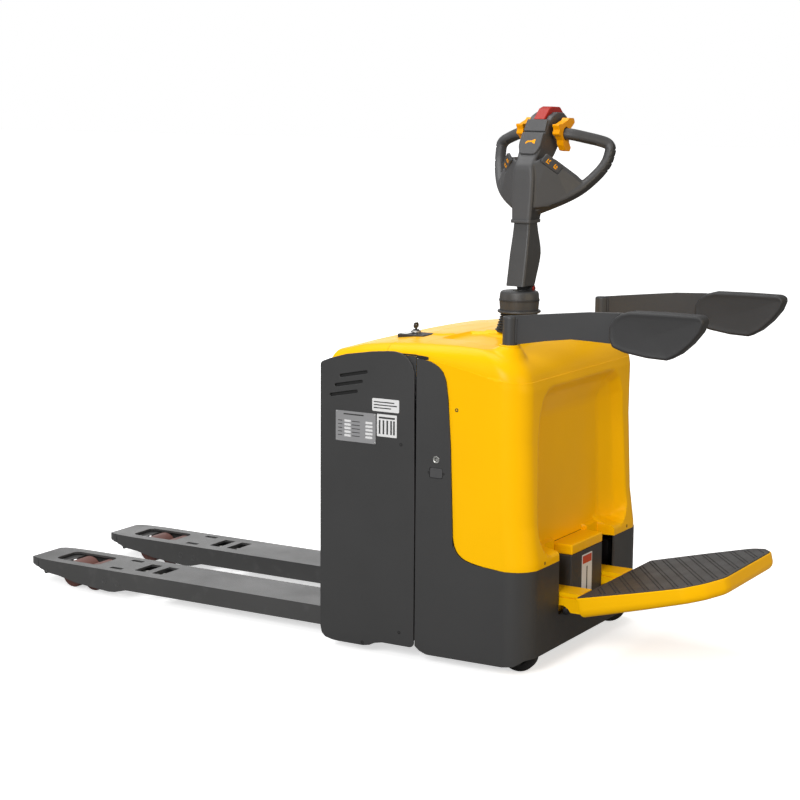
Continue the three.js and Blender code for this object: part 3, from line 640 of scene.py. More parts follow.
def box_ring(z, y0, y1, half, r, n=6):
    cx0, cx1 = STEER_X - half + r, STEER_X + half - r
    pts = []
    for cx, cy, a0 in ((cx1, y1 - r, 0), (cx0, y1 - r, 90), (cx0, y0 + r, 180), (cx1, y0 + r, 270)):
        pts += arc(cx, cy, r, a0, a0 + 90, n)
    return [(x, y, z) for x, y in pts]


def loft_column(name, rows, r, count):
    """Rounded-box rings through (z, y0, y1, half) rows, eased between them."""
    zs = [row[0] for row in rows]
    dense = spline([(row[1], row[2], row[3]) for row in rows], count)
    zz = spline([(z, 0, 0) for z in zs], count)
    return rings(name, [box_ring(q[0], p[0], p[1], p[2], r) for p, q in zip(dense, zz)])


def fused(name, obs, voxel, steps):
    """Pieces melted into one skin and softened."""
    ob = join(name, obs)
    m = ob.modifiers.new("r", "REMESH")
    m.mode = "VOXEL"
    m.voxel_size = voxel / 1000
    baked(ob)
    m = ob.modifiers.new("s", "SMOOTH")
    m.factor = 0.5
    m.iterations = steps
    return baked(ob)


def on_plane(name, outline, origin, right, up, low, high):
    """An outline in the plane of two directions, from one height over it to another."""
    right, up = Vector(right).normalized(), Vector(up).normalized()
    out = right.cross(up)
    o = Vector(origin)
    return between(name, [[tuple(o + right * a + up * b + out * h) for a, b in outline]
                          for h in (low, high)])


SWITCH = [(17, 99, 1453), (17, 133, 1482), (15, 150, 1487.5), (16, 200, 1486), (19, 230, 1458),
          (17, 234, 1440), (17, 190, 1440), (17, 130, 1450)]


def across(rows, grow=0.0):
    """Points on both sides of the tiller from (half width, y, z) rows."""
    return [(STEER_X + s * (h + grow), y, z) for h, y, z in rows for s in (-1, 1)]


LOOP = [(16, 138, 1414), (50, 138, 1414), (80, 143, 1412), (112, 165, 1404), (142, 190, 1395),
        (161, 204, 1387), (170, 206, 1376), (170, 201, 1358), (165, 188, 1331), (150, 160, 1300),
        (122, 120, 1264), (84, 82, 1237), (20, 40, 1206)]


SQUARISH = 2 / 2.6  # power that makes a round section a little square


def loop_section(t):
    """A rounded bar, flatter down the outer grip."""
    a = 15.5 - 1.5 * step((t - 0.35) * 4)
    b = 14.5 + 2.5 * step((t - 0.3) * 4)
    out = []
    for k in range(24):
        w = 2 * math.pi * k / 24
        c, s = math.cos(w), math.sin(w)
        out.append((a * math.copysign(abs(c) ** SQUARISH, c), b * math.copysign(abs(s) ** SQUARISH, s)))
    return out


def pad_face(s):
    """Centre of a lift pad with its two directions in the face."""
    along = Vector((s * 34, 39, -35)).normalized()
    lean = Vector((s * 16, 6, 22))
    up = (lean - along * lean.dot(along)).normalized()
    return Vector((STEER_X + s * 69.5, 47.5, 1333.5)), along * s, up


def tiller_head():
    rows = [(1178, -3, 64, 29), (1205, -1, 74, 30.5), (1250, 2, 88, 32), (1300, 5, 108, 32),
            (1325, 8, 120, 29), (1345, 22, 136, 29), (1362, 36, 150, 32), (1418, 74, 196, 34),
            (1440, 88, 214, 34), (1452, 99, 216, 32)]
    parts = [loft_column("spine", rows, 9, 6)]
    cheek = [(70, 1412), (98, 1444), (120, 1462), (150, 1472), (188, 1471), (212, 1458), (220, 1444),
             (205, 1412)]
    for s in (-1, 1):
        lo, hi = sorted((STEER_X + s * 15, STEER_X + s * 34))
        parts.append(prism("cheek", cheek, "x", lo, hi))
        path = spline([(STEER_X + s * u, y, z) for u, y, z in LOOP], 6)
        parts.append(sweep("loop", path, loop_section, up=(0, -0.85, 0.52)))
        at = [(18, 3, 1212), (18, 10, 1330), (44, 34, 1350), (62, 44, 1348), (112, 92, 1300),
              (134, 118, 1274), (106, 80, 1240), (60, 42, 1216), (18, 50, 1204), (18, 66, 1330),
              (44, 88, 1350), (62, 86, 1344), (112, 122, 1300), (132, 140, 1276), (96, 112, 1240)]
        parts.append(hull_of("wing", [(STEER_X + s * u, y, z) for u, y, z in at]))
    ob = fused("tiller_head_shell", parts, 2.2, 5)
    grooves = [1371, 1352, 1333, 1314]
    for v in ob.data.vertices:
        x, y, z = v.co.x * 1000 - SHIFT, v.co.y * 1000, v.co.z * 1000
        u = abs(x - STEER_X)
        if u > 150 and z < 1386:
            out = Vector((math.copysign(0.85, x - STEER_X), 0.4, -0.2)).normalized()
            if v.normal.dot(out) > 0.25 and min(abs(z - e) for e in grooves) < 1.7:
                v.co -= v.normal * 0.0022
    rooms = []
    for s in (-1, 1):
        lo, hi = sorted((STEER_X + s * 35.5, STEER_X + s * 73))
        rooms.append(turned("room", rect(17.2, 52, 0, hi - lo), (lo, *HUB), "x", 48))
        rooms.append(on_plane("pad_room", rounded(rect(-32, 32, -14.5, 14.5), 6, 4), *pad_face(s), -9.4, 9))
    rooms.append(hull_of("well", across([(h, y, z) for h, y, z in SWITCH[:6]]
                                        + [(17, 234, 1434), (17, 190, 1427), (17, 120, 1439),
                                           (17, 97, 1448)], 1.0)))
    boolean(ob, rooms)
    done(ob, HEAD, "tiller", ["tiller_head"], 180, False)
    ob.data.materials.append(GRIP)
    for f in ob.data.polygons:
        c = f.center
        x, y, z = c.x * 1000 - SHIFT, c.y * 1000, c.z * 1000
        u = abs(x - STEER_X)
        if u < 26 and z < 1300 or (u < 74 and z > 1290):
            continue
        out = Vector((math.copysign(0.5, x - STEER_X), 0.35, -0.8)).normalized()
        if u > 140:
            out = Vector((math.copysign(0.9, x - STEER_X), 0.45, -0.1)).normalized()
        if f.normal.dot(out) > 0.45:
            f.material_index = 1


PADDLE = [(88, 1440), (110, 1440), (146, 1450), (155, 1457), (185, 1456), (192, 1444), (176, 1433),
          (160, 1424), (156, 1404), (158, 1388), (170, 1375), (162, 1364), (138, 1367), (124, 1382),
          (120, 1396), (108, 1406), (92, 1413), (98, 1425)]


def throttles():
    for side, s in SIDES:
        lo, hi = sorted((STEER_X + s * 46, STEER_X + s * 66))
        ob = prism("throttle_lever_" + side, rounded(PADDLE, 4.5, 4), "x", lo, hi)
        boolean(ob, rod("boss", 25, hi - lo, (lo, *HUB), "x", 48), "UNION")
        boolean(ob, rod("bore", 18.7, hi - lo + 5, (lo, *HUB), "x", 48, -5))
        bevel(ob, 3.2, 4, 50)
        done(ob, AMBER, "throttle_" + side[0], ["throttle_" + side], 38)


def head_controls():
    ob = hull_of("safety_switch", across(SWITCH))
    bevel(ob, 2.6, 4, 14)
    done(ob, RED, "belly", ["belly_switch"], 30)

    up = Vector((0, 38, 61)).normalized()
    right = Vector((1, 0, 0))
    mid = (STEER_X, 52, 1386)
    plate = on_plane("horn_plate", rounded([(-33, 34), (-33.5, -8), (-24, -34), (24, -34), (33.5, -8),
                                            (33, 34)], [3, 30, 14, 14, 30, 3], 6), mid, right, up, -9, 5.6)
    bevel(plate, 3.6, 4, 40)
    done(plate, HEAD, "horn", ["horn_button"], 35)
    bell = [(-14, -1.5), (-9, 3.6), (5, 4.2), (10, 8), (15, 8), (15, -5), (10, -5), (5, -0.5), (-6, -1),
            (-13, -7)]
    sign = on_plane("horn_symbol", bell, (STEER_X, 54, 1389), right, up, 5.2, 6.0)
    done(sign, AMBER, "horn")
    visor = on_plane("head_visor", rounded([(-31, 20), (-33, -17.4), (33, -17.4), (31, 20)], 3, 3),
                     (STEER_X, 84, 1434.5), right, Vector((0, 34, 56)), -6, 3.4)
    bevel(visor, 1.6, 3, 40)
    done(visor, HEAD, "tiller", (), 35)

    for side, s in SIDES:
        centre, r, u = pad_face(s)
        pad = on_plane("lift_pad_face_" + side, rounded(rect(-31, 31, -13.5, 13.5), 5, 4),
                       centre, r, u, -7, 1.6)
        bevel(pad, 1.8, 3, 40)
        done(pad, HEAD, "pad_" + side[0], ["lift_pad_" + side], 35)
        for k, flip in ((-1, 1), (1, -1)):
            c = centre + r * (k * 13)
            icon = [(-6, -6), (-6, 6), (-3.4, 6), (-3.4, -3.4), (5, -3.4), (5, -6)]
            arrow = [(0, 0), (3, 0), (3, 3), (6, 3), (2, 7), (-2, 3), (0, 3)]
            for n, shape in enumerate((icon, [(a, b * flip + (1 - flip) * 2) for a, b in arrow])):
                part = on_plane("pad_symbol_%s_%d_%d" % (side, k + 1, n), shape, c, r, u, 1.4, 2.1)
                done(part, AMBER, "pad_" + side[0])


def tiller_stem():
    rows = [(1000, -31, 40, 27.5), (1003, -30.4, 43, 28), (1058, -18.4, 68.5, 28), (1072, -15.4, 73.6, 28),
            (1086, -12.6, 76.4, 28), (1100, -9.4, 76.2, 27.4), (1112, -6.8, 74, 27), (1142, 0, 64, 26),
            (1174, 5, 56, 25)]
    stem = rings("stem", [box_ring(z, a, b, half, 7) for z, a, b, half in rows])
    tongue = prism("tongue", rounded([(28, 978), (52, 978), (56, 1006), (24, 1006)], [12, 12, 2, 2], 6),
                   "x", STEER_X - 11, STEER_X + 11)
    boolean(tongue, rod("pin_hole", 4, 20, (STEER_X, 40, 990), "x", 24, -20))
    ob = join("tiller_stem", [stem, tongue])
    done(ob, ARM, "tiller", ["tiller_arm"], 30)
    lip = loft_column("tiller_lip", [(1172, -5.5, 65, 30.5), (1176, -6, 66, 31), (1181, -5, 66, 31)], 9, 4)
    done(lip, HEAD, "tiller", (), 30)


def column():
    profile = [(0, 462.6), (45, 462.6), (45, 474), (22, 476), (22, 924), (56, 925), (59.5, 927), (60, 930),
               (59, 932.4), (53, 933), (53.5, 936), (55, 955), (55, 961), (54, 978), (51, 984), (48, 985.5),
               (18, 985.5), (18, 980), (0, 980)]
    parts = [turned("shaft", profile, (STEER_X, 0, 0), "z", 72)]
    boolean(parts[0], prism("hinge_room", rounded(rect(24, 72, 974, 1010), 3, 3), "x",
                            STEER_X - 12.2, STEER_X + 12.2))
    for s in (-1, 1):
        lo, hi = sorted((STEER_X + s * 12.6, STEER_X + s * 22))
        parts.append(prism("ear", [(28, 968), (50, 968)] + arc(40, 990, 12, 0, 180, 14), "x", lo, hi))
    parts.append(rod("hinge_pin", 3.6, 27, (STEER_X, 40, 990), "x", 24, -27))
    ob = join("steering_head", parts)
    done(ob, ARM, "steering", ["steering_column"], 35)
    ring = turned("collar_band", [(54.6, 957), (56.2, 958), (56.2, 963), (54.6, 964)], (STEER_X, 0, 0),
                  "z", 72)
    done(ring, BLACK, "steering", (), 30)
    spot = turned("hinge_bolt_head", [(0, 0), (6.5, 0), (7, 1), (6, 4), (0, 4.6)], (STEER_X + 22.4, 40, 990),
                  "x", 24)
    done(spot, RED, "steering", (), 30)

    ribs = [(28, 874.2), (66, 874.2), (66, 878)]
    for k in range(6):
        z, r = 880 + 7.2 * k, 62 - 1.9 * k
        ribs += [(r - 5, z - 0.6), (r - 5.2, z + 0.8), (r - 0.4, z + 2.2), (r, z + 3.4), (r - 0.6, z + 4.6)]
    ribs += [(49, 923), (28, 923)]
    boot = turned("bellows", ribs, (STEER_X, 0, 0), "z", 72)
    done(boot, RUBBER, "chassis", ["boot"], 35)


tiller_head()
throttles()
head_controls()
tiller_stem()
column()


# ---- guard arms and their foam pads --------------------------------------------------------------

BLADE = [(530, 880), (568, 880), (640, 893), (714, 903), (770, 902), (826, 900), (889.6, 900),
         (889.6, 976), (850, 980), (760, 976), (684, 968), (600, 959), (530, 951)]
PAD = [(826, 915), (826, 945), (840, 968), (860, 981), (883, 987), (980, 988.5), (1067, 988),
       (1080, 982), (1082, 970), (1072, 945), (1048, 915), (1018, 888), (986, 870), (930, 872),
       (870, 881), (835, 893)]


def even_loop(points, count):
    """A closed outline sampled at even steps."""
    p = np.array(points + [points[0]], float)
    d = np.concatenate([[0], np.cumsum(np.hypot(*np.diff(p, axis=0).T))])
    s = np.linspace(0, d[-1], count, endpoint=False)
    return [(np.interp(t, d, p[:, 0]), np.interp(t, d, p[:, 1])) for t in s]


def inset_loop(loop, by):
    """A closed outline moved inwards."""
    n = len(loop)
    area = sum(loop[i - 1][0] * loop[i][1] - loop[i][0] * loop[i - 1][1] for i in range(n))
    turn = 1 if area > 0 else -1
    out = []
    for i in range(n):
        (ax, ay), (bx, by_) = loop[i - 2], loop[(i + 2) % n]
        tx, ty = bx - ax, by_ - ay
        ln = math.hypot(tx, ty)
        out.append((loop[i][0] - turn * ty / ln * by, loop[i][1] + turn * tx / ln * by))
    return out


def guard(side, s):
    y = s * POST[1]
    blade = prism("blade", rounded(BLADE, [1, 1, 60, 60, 60, 60, 1, 1, 60, 60, 60, 60, 1], 5), "y",
                  y - 5.6, y + 5.6)
    bevel(blade, 1.2, 3, 50)
    post = turned("post", [(0, 703.4), (18.4, 703.4), (19.8, 705), (19.8, 946), (19.2, 948.6),
                           (17.6, 950.6), (15, 951), (13.5, 950), (0, 950)], (POST[0], y, 0), "z", 64)
    seam = [turned("bead", [(0, 0), (2.4, 0), (2.6, 0.6), (2.6, 62), (2.4, 62.6), (0, 62.6)],
                   (POST[0] + 20.6, y + k * 6.2, 884), "z", 16) for k in (-1, 1)]
    cap = turned("cap", [(0, 947), (13.4, 947), (13.4, 949.3), (12.6, 950.2), (0, 950.6)],
                 (POST[0], y, 0), "z", 40)
    arm = join("guard_arm_bar_" + side, [blade, post] + seam + [cap])
    done(arm, ARM, "guard_" + side[0], ["guard_arm_" + side], 35)

    outline = even_loop(rounded(PAD, 14, 5), 150)
    inner = inset_loop(outline, 16)
    cx, cz = 950, 930
    loops = []
    rims = [(16, 21.0), (11, 21.6), (8, 22.4), (5, 22.6), (2.6, 21.4), (0.8, 18.6), (0, 15), (0, 8)]
    for sign in (-1, 1):
        face = []
        for share, w in ((0.02, 19.4), (0.2, 19.5), (0.4, 19.8), (0.6, 20.2), (0.8, 20.6)):
            face.append([(cx + (a - cx) * share, y + sign * w, cz + (b - cz) * share) for a, b in inner])
        for inset, w in rims:
            face.append([(a, y + sign * w, b) for a, b in inset_loop(outline, inset)])
        loops += face if sign < 0 else face[::-1]
    pad = rings("guard_pad_foam_" + side, loops)
    boolean(pad, prism("slit", rect(700, 890.4, 800, 1100), "y", y - 6.2, y + 6.2))
    done(pad, FOAM, "guard_" + side[0], ["guard_pad_" + side], 50)

    ring = turned("post_grommet_" + side, [(20.6, 862), (27.6, 862), (28.4, 873.6), (27, 876), (24, 877),
                                           (21.6, 876.6), (20.6, 875.6)], (POST[0], y, 0), "z", 56)
    done(ring, YELLOW, "chassis", (), 35)


for side, s in SIDES:
    guard(side, s)


# ---- operator platform ---------------------------------------------------------------------------

TILT = math.radians(13.5)  # rise of the platform at rest
DECK = (722, 208)  # hinge edge of its top, along and up
BAND_LEAN = math.radians(59)
BAND_PITCH = 41.5
FLAT = [(0, 245), (90, 252), (180, 258), (310, 258), (363, 225), (397, 172), (401, 150)]


def on_deck(x, y, z):
    """Platform coordinates (along, across, above the deck) to heel coordinates."""
    return (DECK[0] + x * math.cos(TILT) - z * math.sin(TILT), y,
            DECK[1] + x * math.sin(TILT) + z * math.cos(TILT))


def deck_outline(inset):
    pts = [(a, -b) for a, b in FLAT] + FLAT[::-1]
    radii = [9, 300, 300, 60, 60, 24, 24]
    loop = even_loop(rounded(pts, radii + radii[::-1], 8), 260)
    return inset_loop(loop, inset) if inset else loop


def deck_middle(inset, z):
    """A small ring in the middle of the deck, which closes a skin flat."""
    return [on_deck(180 + (a - 180) * 0.02, b * 0.02, z) for a, b in deck_outline(inset)]


def platform():
    rows = [(4.4, -0.4), (3.4, -0.4), (2.6, 0.6), (1.4, 0.6), (0.4, -0.4), (0, -2), (0, -4), (0, -24),
            (1.4, -31), (4.6, -37), (9, -41), (14, -42.8), (17, -42.2), (16.4, -40.2), (11, -38), (8, -33),
            (6.2, -24), (6, -6.4)]
    loops = [deck_middle(4.4, -0.4)]
    for inset, z in rows:
        loops.append([on_deck(a, b, z * (1 + (0.26 * max(0, 1 - a / 300) if z < -20 else 0)))
                      for a, b in deck_outline(inset)])
    loops.append(deck_middle(6, -6.4))
    pan = rings("pan", loops)
    notch = [on_deck(a, 0, b) for a, b in ((-12, -60), (30, -60), (30, -6.2), (-12, -6.2))]
    gap = prism("gap", [(p[0], p[2]) for p in notch], "y", -186.6, 186.6)
    boolean(pan, gap)
    dx, dz = HINGE[0] - DECK[0], HINGE[1] - DECK[1]
    along = dx * math.cos(TILT) + dz * math.sin(TILT)
    below = -dx * math.sin(TILT) + dz * math.cos(TILT)
    parts = [pan]
    for y0 in (-186, -94, 84, 176):
        eye = arc(along, below, 12.6, -180, 0, 14) + [(along + 28, below), (along + 28, -6.2),
                                                      (along - 12.6, -6.2)]
        lug = prism("lug", [(on_deck(a, 0, b)[0], on_deck(a, 0, b)[2]) for a, b in eye], "y", y0, y0 + 10)
        parts.append(bevel(lug, 0.8, 2, 50))
    px, _, pz = on_deck(along, 0, below)
    for y0 in (-189.5, 80.5):
        parts.append(turned("pin", [(0, 0), (6.6, 0), (7.4, 1), (7.4, 108), (6.6, 109), (0, 109)],
                            (px, y0, pz), "y", 40))
    ob = join("platform_pan", parts)
    done(ob, YELLOW, "platform", ["platform_plate"], 34)

    loops = [deck_middle(6, 3.0)]
    loops += [[on_deck(a, b, z) for a, b in deck_outline(i)] for i, z in
              ((6, 3.0), (4.4, 2.8), (3.8, 2.2), (3.8, 0.2))]
    loops.append(deck_middle(5, 0.2))
    mat = rings("platform_tread", loops)
    done(mat, MAT, "platform", ["platform_mat"], 30)
    grip_rows()


def grip_rows():
    """Slanted double rows of raised bars on the mat."""
    edge = deck_outline(9)
    bm = bmesh.new()
    run = Vector((math.cos(BAND_LEAN), -math.sin(BAND_LEAN)))
    side = Vector((-run.y, run.x))
    for band in range(-5, 9):
        for row in (-4.6, 4.6):
            start = Vector((24 + BAND_PITCH * band, 204)) + side * row - run * 66
            for k in range(56):
                c = start + run * (11.4 * k + (2.8 if row > 0 else 0))
                if inside_by(edge, c.x, c.y) < 5:
                    continue
                ring = []
                for a, b, z in ((-3.9, -2.3, 2.9), (3.9, -2.3, 2.9), (3.9, 2.3, 2.9), (-3.9, 2.3, 2.9),
                                (-2.8, -1.3, 4.2), (2.8, -1.3, 4.2), (2.8, 1.3, 4.2), (-2.8, 1.3, 4.2)):
                    q = c + run * a + side * b
                    ring.append(bm.verts.new(V(*on_deck(q.x, q.y, z))))
                for f in ((0, 3, 2, 1), (4, 5, 6, 7), (0, 1, 5, 4), (1, 2, 6, 5), (2, 3, 7, 6),
                          (3, 0, 4, 7)):
                    bm.faces.new([ring[i] for i in f])
    bmesh.ops.recalc_face_normals(bm, faces=bm.faces)
    done(from_bmesh("platform_grip_rows", bm), RUBBER, "platform", (), 20)


platform()


def platform_bracket(side, s):
    lo, hi = sorted((s * 98.9, s * 171.1))
    web = [(597, 138), (597, 199.6), (702, 199.6), (703.4, 182.6), (728, 182.2)]
    web += arc(*HINGE, 13.8, 120, -70, 12) + [(716, 163), (702, 146), (674, 146), (666, 156),
                                                (652, 164), (636, 162), (627, 138)]
    radii = [1, 1, 4, 3, 1] + [0.01] * 13 + [6, 3, 3, 10, 12, 10, 3]
    body = prism("platform_arm_" + side, rounded(web, radii, 5), "y", lo, hi)
    tools = [rod("bore", 8.1, 90, (HINGE[0], lo, HINGE[1]), "y", 40, -5)]
    tools += [block("groove", 596, 700, a, a + 5, 185.4, 188) for a in (lo - 2, hi - 3)]
    boolean(body, tools)
    bevel(body, 0.9, 2, 50)
    done(body, YELLOW, "chassis", ["platform_bracket_" + side], 35)
    stop = turned("rubber_stop_" + side, [(0, 0), (14, 0), (15, 1.5), (15, 9), (11, 14), (0, 15)],
                  (640.4, s * 135, 144), "x", 40)
    done(stop, RUBBER, "chassis", (), 40)


for side, s in SIDES:
    platform_bracket(side, s)


# ---- forks ---------------------------------------------------------------------------------------

FORK_SIDE = [(-1150, 66), (-1143, 62), (-1133, 59), (-1127, 62), (-1120, 58), (-1108, 57), (-1097, 53),
             (-1086, 51), (-1072, 45), (-1061, 44), (-1022, 42), (-951, 28), (-889, 23), (-823, 18),
             (-800, 20), (-758, 31), (285, 31), (285, 85), (-1120, 85), (-1144, 84)]
FORK_PLAN = [(286, 86), (-1030, 86), (-1090, 82), (-1126, 74), (-1147, 58), (-1150, 38)]


def fork(side, s):
    y0 = s * FORK_MID
    radii = [9, 4, 4, 3, 4, 4, 4, 4, 8, 20, 20, 90, 90, 60, 20, 20, 1, 1, 40, 12]
    form = prism("fork_channel_" + side, rounded(FORK_SIDE, radii, 5), "y", y0 - 90, y0 + 90)
    plan = [(x, y0 - w) for x, w in FORK_PLAN] + [(x, y0 + w) for x, w in reversed(FORK_PLAN)]
    pr = [0.1, 200, 80, 40, 20, 20]
    boolean(form, prism("plan", rounded(plan, pr + pr[::-1], 8), "z", 0, 120), "INTERSECT")
    bevel(form, 6.5, 5, 30)
    tools = [block("hollow", -1106, 290, y0 - 79, y0 + 79, -20, 78.4)]
    window = [(-1060, -40), (-1048, -52), (-905, -52), (-893, -40), (-893, 40), (-905, 52), (-1048, 52),
              (-1060, 40)]
    tools.append(prism("window", rounded([(a, y0 + b) for a, b in window], 3, 3), "z", 60, 110))
    for a, b in ((-756, -716), (-690, -652)):
        tools.append(prism("slot", rounded(rect(a, b, y0 - 44, y0 + 44), 2.5, 3), "z", 60, 110))
    for y in (y0 - 52, y0 + 52):
        tools.append(prism("notch", rounded(rect(-840, -796, y - 9, y + 9), 3, 3), "z", 60, 110))
    tools.append(block("seat", -1, 300, y0 - 95, y0 + 95, 84.5, 110))
    tools.append(rod("shaft", 11.6, 200, (70, y0 - 100, 46), "y", 40))
    boolean(form, tools)
    bevel(form, 0.7, 2, 60)
    parts = [form, block("tip_web", -1107, -1031, y0 - 79.5, y0 + 79.5, 72.4, 75)]
    for x, z, r in ((-790, 46, 7.9), (-1071, 47, 5.9)):
        parts.append(turned("pin", [(0, 0), (r - 1, 0), (r, 1), (r, 171), (r - 1, 172), (0, 172)],
                            (x, y0 - 86, z), "y", 32))
    ob = join("fork_blade_" + side, parts)
    done(ob, FORK, "fork_frame", ["fork_" + side], 32)
    plugs = []
    for x, z in ((-790, 46), (-840, 50)):
        for d in (-1, 1):
            plugs.append(turned("plug", [(0, -0.5), (9.5, -0.5), (9.2, 0.5), (7.4, 0.9), (6.6, 0.35),
                                         (0, 0.3)], (x, y0 + d * 85.9, z), Vector((0, d, 0)), 32))
    ob = join("fork_weld_plugs_" + side, plugs)
    done(ob, FORK, "fork_frame", (), 30)


def roller(name, node, body, x, y, z, r, half, mat):
    core, inner = r * 0.55, 6.5
    tyre = turned(name + "_tyre", [(core, -half), (r - 4, -half), (r - 1.2, 1.4 - half), (r, 4.5 - half),
                                   (r, half - 4.5), (r - 1.2, half - 1.4), (r - 4, half), (core, half)],
                  (x, y, z), "y", 96)
    done(tyre, mat, body, [node], 30)
    hub = turned(name + "_hub", [(inner, 0.6 - half), (core - 4, 0.6 - half), (core - 3, 2.5 - half),
                                 (core, 2.5 - half), (core, half - 2.5), (core - 3, half - 2.5),
                                 (core - 4, half - 0.6), (inner, half - 0.6)], (x, y, z), "y", 64)
    done(hub, STEEL, body, (), 30)


for side, s in SIDES:
    fork(side, s)
    y0 = s * FORK_MID
    for k, x in ((1, -997), (2, -915)):
        roller("load_wheel_%s_%d" % (side, k), "load_roller_%s_%d" % (side, k), "roller_%s%d" % (side[0], k),
               x, y0, 40, 40, 46, PU)
    roller("entry_wheel_" + side, "entry_roller_" + side, "entry_" + side[0], -1071, y0, 47, 24, 30,
           RUBBER)


# ---- side panels, skirt, rear housing, fittings and labels ---------------------------------------

PANEL = [(0, 60), (4, 40), (16, 28), (40, 23), (60, 22), (140, 22), (160, 26), (176, 34), (200, 39),
         (292, 39), (300, 47), (300, 420), (297.2, 690), (297.2, 790), (290, 812), (277, 829), (257, 841),
         (236, 844.5), (214, 844), (162, 839), (81, 826), (30, 811), (0, 799)]
VENTS = [((63, 766), (151, 782)), ((47, 739), (136, 755)), ((31, 711), (120, 727))]


def thick_line(a, b, half, n=8):
    """An outline with round ends about a line."""
    d = Vector(b) - Vector(a)
    t = math.degrees(math.atan2(d.y, d.x))
    return arc(b[0], b[1], half, t - 90, t + 90, n) + arc(a[0], a[1], half, t + 90, t + 270, n)


def screw(name, x, y, z, out, body, r=4.6, mat=DARK):
    profile = [(0, -1), (r, -1), (r, 0.2), (r - 0.8, 0.9), (r * 0.55, 1.0), (r * 0.5, -0.2), (0, -0.2)]
    ob = turned(name, profile, (x, y, z), Vector(out), 32)
    done(ob, mat, body, (), 30)


def side_panel(side, s):
    lo, hi = sorted((s * 362, s * PANEL_Y))
    ob = prism("side_cover_" + side, rounded(PANEL, 14, 6), "y", lo, hi)
    tools = [prism("vent", thick_line((a[0] + 4, a[1]), (b[0] - 4, b[1]), 4.2), "y", lo - 10, hi + 10)
             for a, b in VENTS]
    boolean(ob, tools)
    bevel(ob, 1.8, 4, 50)
    done(ob, GREY, "fork_frame", ["side_panel_" + side], 34)
    for k, (x, z) in enumerate(((257, 595), (255, 76), (138, 31))):
        screw("panel_screw_%s_%d" % (side, k), x, s * 368, z, (0, s, 0), "fork_frame")


def skirt():
    low = [(300, 50), (304, 46), (318, 36), (336, 28), (350, 27), (560, 27.5), (600, 32), (614, 40),
           (625, 48), (634, 49), (660, 49)]
    parts = []
    front = [(304, 46), (318, 35), (338, 27.6), (350, 27), (572, 28.4), (572, 286)]
    line = [(304, 831)] + [tuple(p)[:2] for p in spline([(a, b, 0) for a, b in SKIRT_LINE], 5)][1:-1]
    for s in (-1, 1):
        lo, hi = sorted((s * 364, s * PANEL_Y))
        parts.append(prism("plate", front + [(572, 286.4)] + line[::-1], "y", lo, hi))

    def path(inset):
        """The way round the rear, with the two rounded corners."""
        y, r = PANEL_Y - inset, CORNER - inset
        return [(568.0, -y)] + arc(570, -298, r, -90, 0, 28) + arc(570, 298, r, 0, 90, 28) + [(568.0, y)]

    rows = []
    for loop in (path(0), path(4.6)):
        edge = [[(x, y, lerp_table(low, x)) for x, y in loop], [(x, y, 286.2) for x, y in loop]]
        rows += edge if not rows else edge[::-1]
    n = len(rows[0])
    pts = [p for row in rows for p in row]
    faces = []
    for k in range(4):
        kk = (k + 1) % 4
        for i in range(n - 1):
            faces.append((k * n + i, k * n + i + 1, kk * n + i + 1, kk * n + i))
    faces.append((0, n, 2 * n, 3 * n))
    faces.append((n - 1, 4 * n - 1, 3 * n - 1, 2 * n - 1))
    wrap = normals_out(mesh_object("skirt_wrap", pts, faces))
    boolean(wrap, parts, "UNION")
    boolean(wrap, [
        prism("mouth", rounded(rect(-175.5, 175.5, 136, 300), [8, 8, 1, 1], 5), "x", 600, 700),
        rod("socket", 8, 20, (366, -360, 565), (0, -1, 0), 40, -10),
        prism("seat", rounded(rect(345.5, 386.5, 514.5, 543.5), 5, 4), "y", -370, -366),
    ])
    bevel(wrap, 1.3, 3, 50)
    shelf = bevel(block("shelf", 590, 637, -180, 180, 130.5, 136), 0.8, 2)
    back = bevel(block("back", 590, 596, -180, 180, 131, 282), 0.8, 2)
    ob = join("skirt_shell", [wrap, shelf, back])
    done(ob, GREY, "chassis", ["skirt_left", "skirt_right", "skirt_rear"], 34)

    housing = block("rear_housing", 597, 639.6, -97.6, 97.6, 132, 285)
    bevel(housing, 3.2, 4)
    done(housing, GREY, "chassis", (), 34)
    cap = prism("rear_housing_cap", rect(-98, 98, 285.4, 313), "x", 573, 640.4)
    bevel(cap, 4.5, 5)
    done(cap, YELLOW, "chassis", ["housing_cap"], 34)

    for s in (-1, 1):
        screw("hood_screw_%d" % (s + 1), 639.6, s * 262, 298, (1, 0, 0.05), "chassis")
        screw("hood_side_screw_%d" % (s + 1), 424, s * 364, 703, (0, s, 0), "chassis", 5)
        profile = [(0, -4), (9, -4), (9, 4), (8, 5), (5, 5.4), (4.6, 2), (0, 2)]
        bolt = turned("pivot_bolt_%d" % (s + 1), profile, (604, s * 136, 238), "x", 6)
        done(bolt, STEEL, "chassis", (), 20)
        washer = turned("pivot_washer_%d" % (s + 1), [(4, -9), (13, -9), (13.4, -7), (13, -4), (4, -4)],
                        (604, s * 136, 238), "x", 40)
        done(washer, ZINC, "chassis", (), 20)


for side, s in SIDES:
    side_panel(side, s)
skirt()


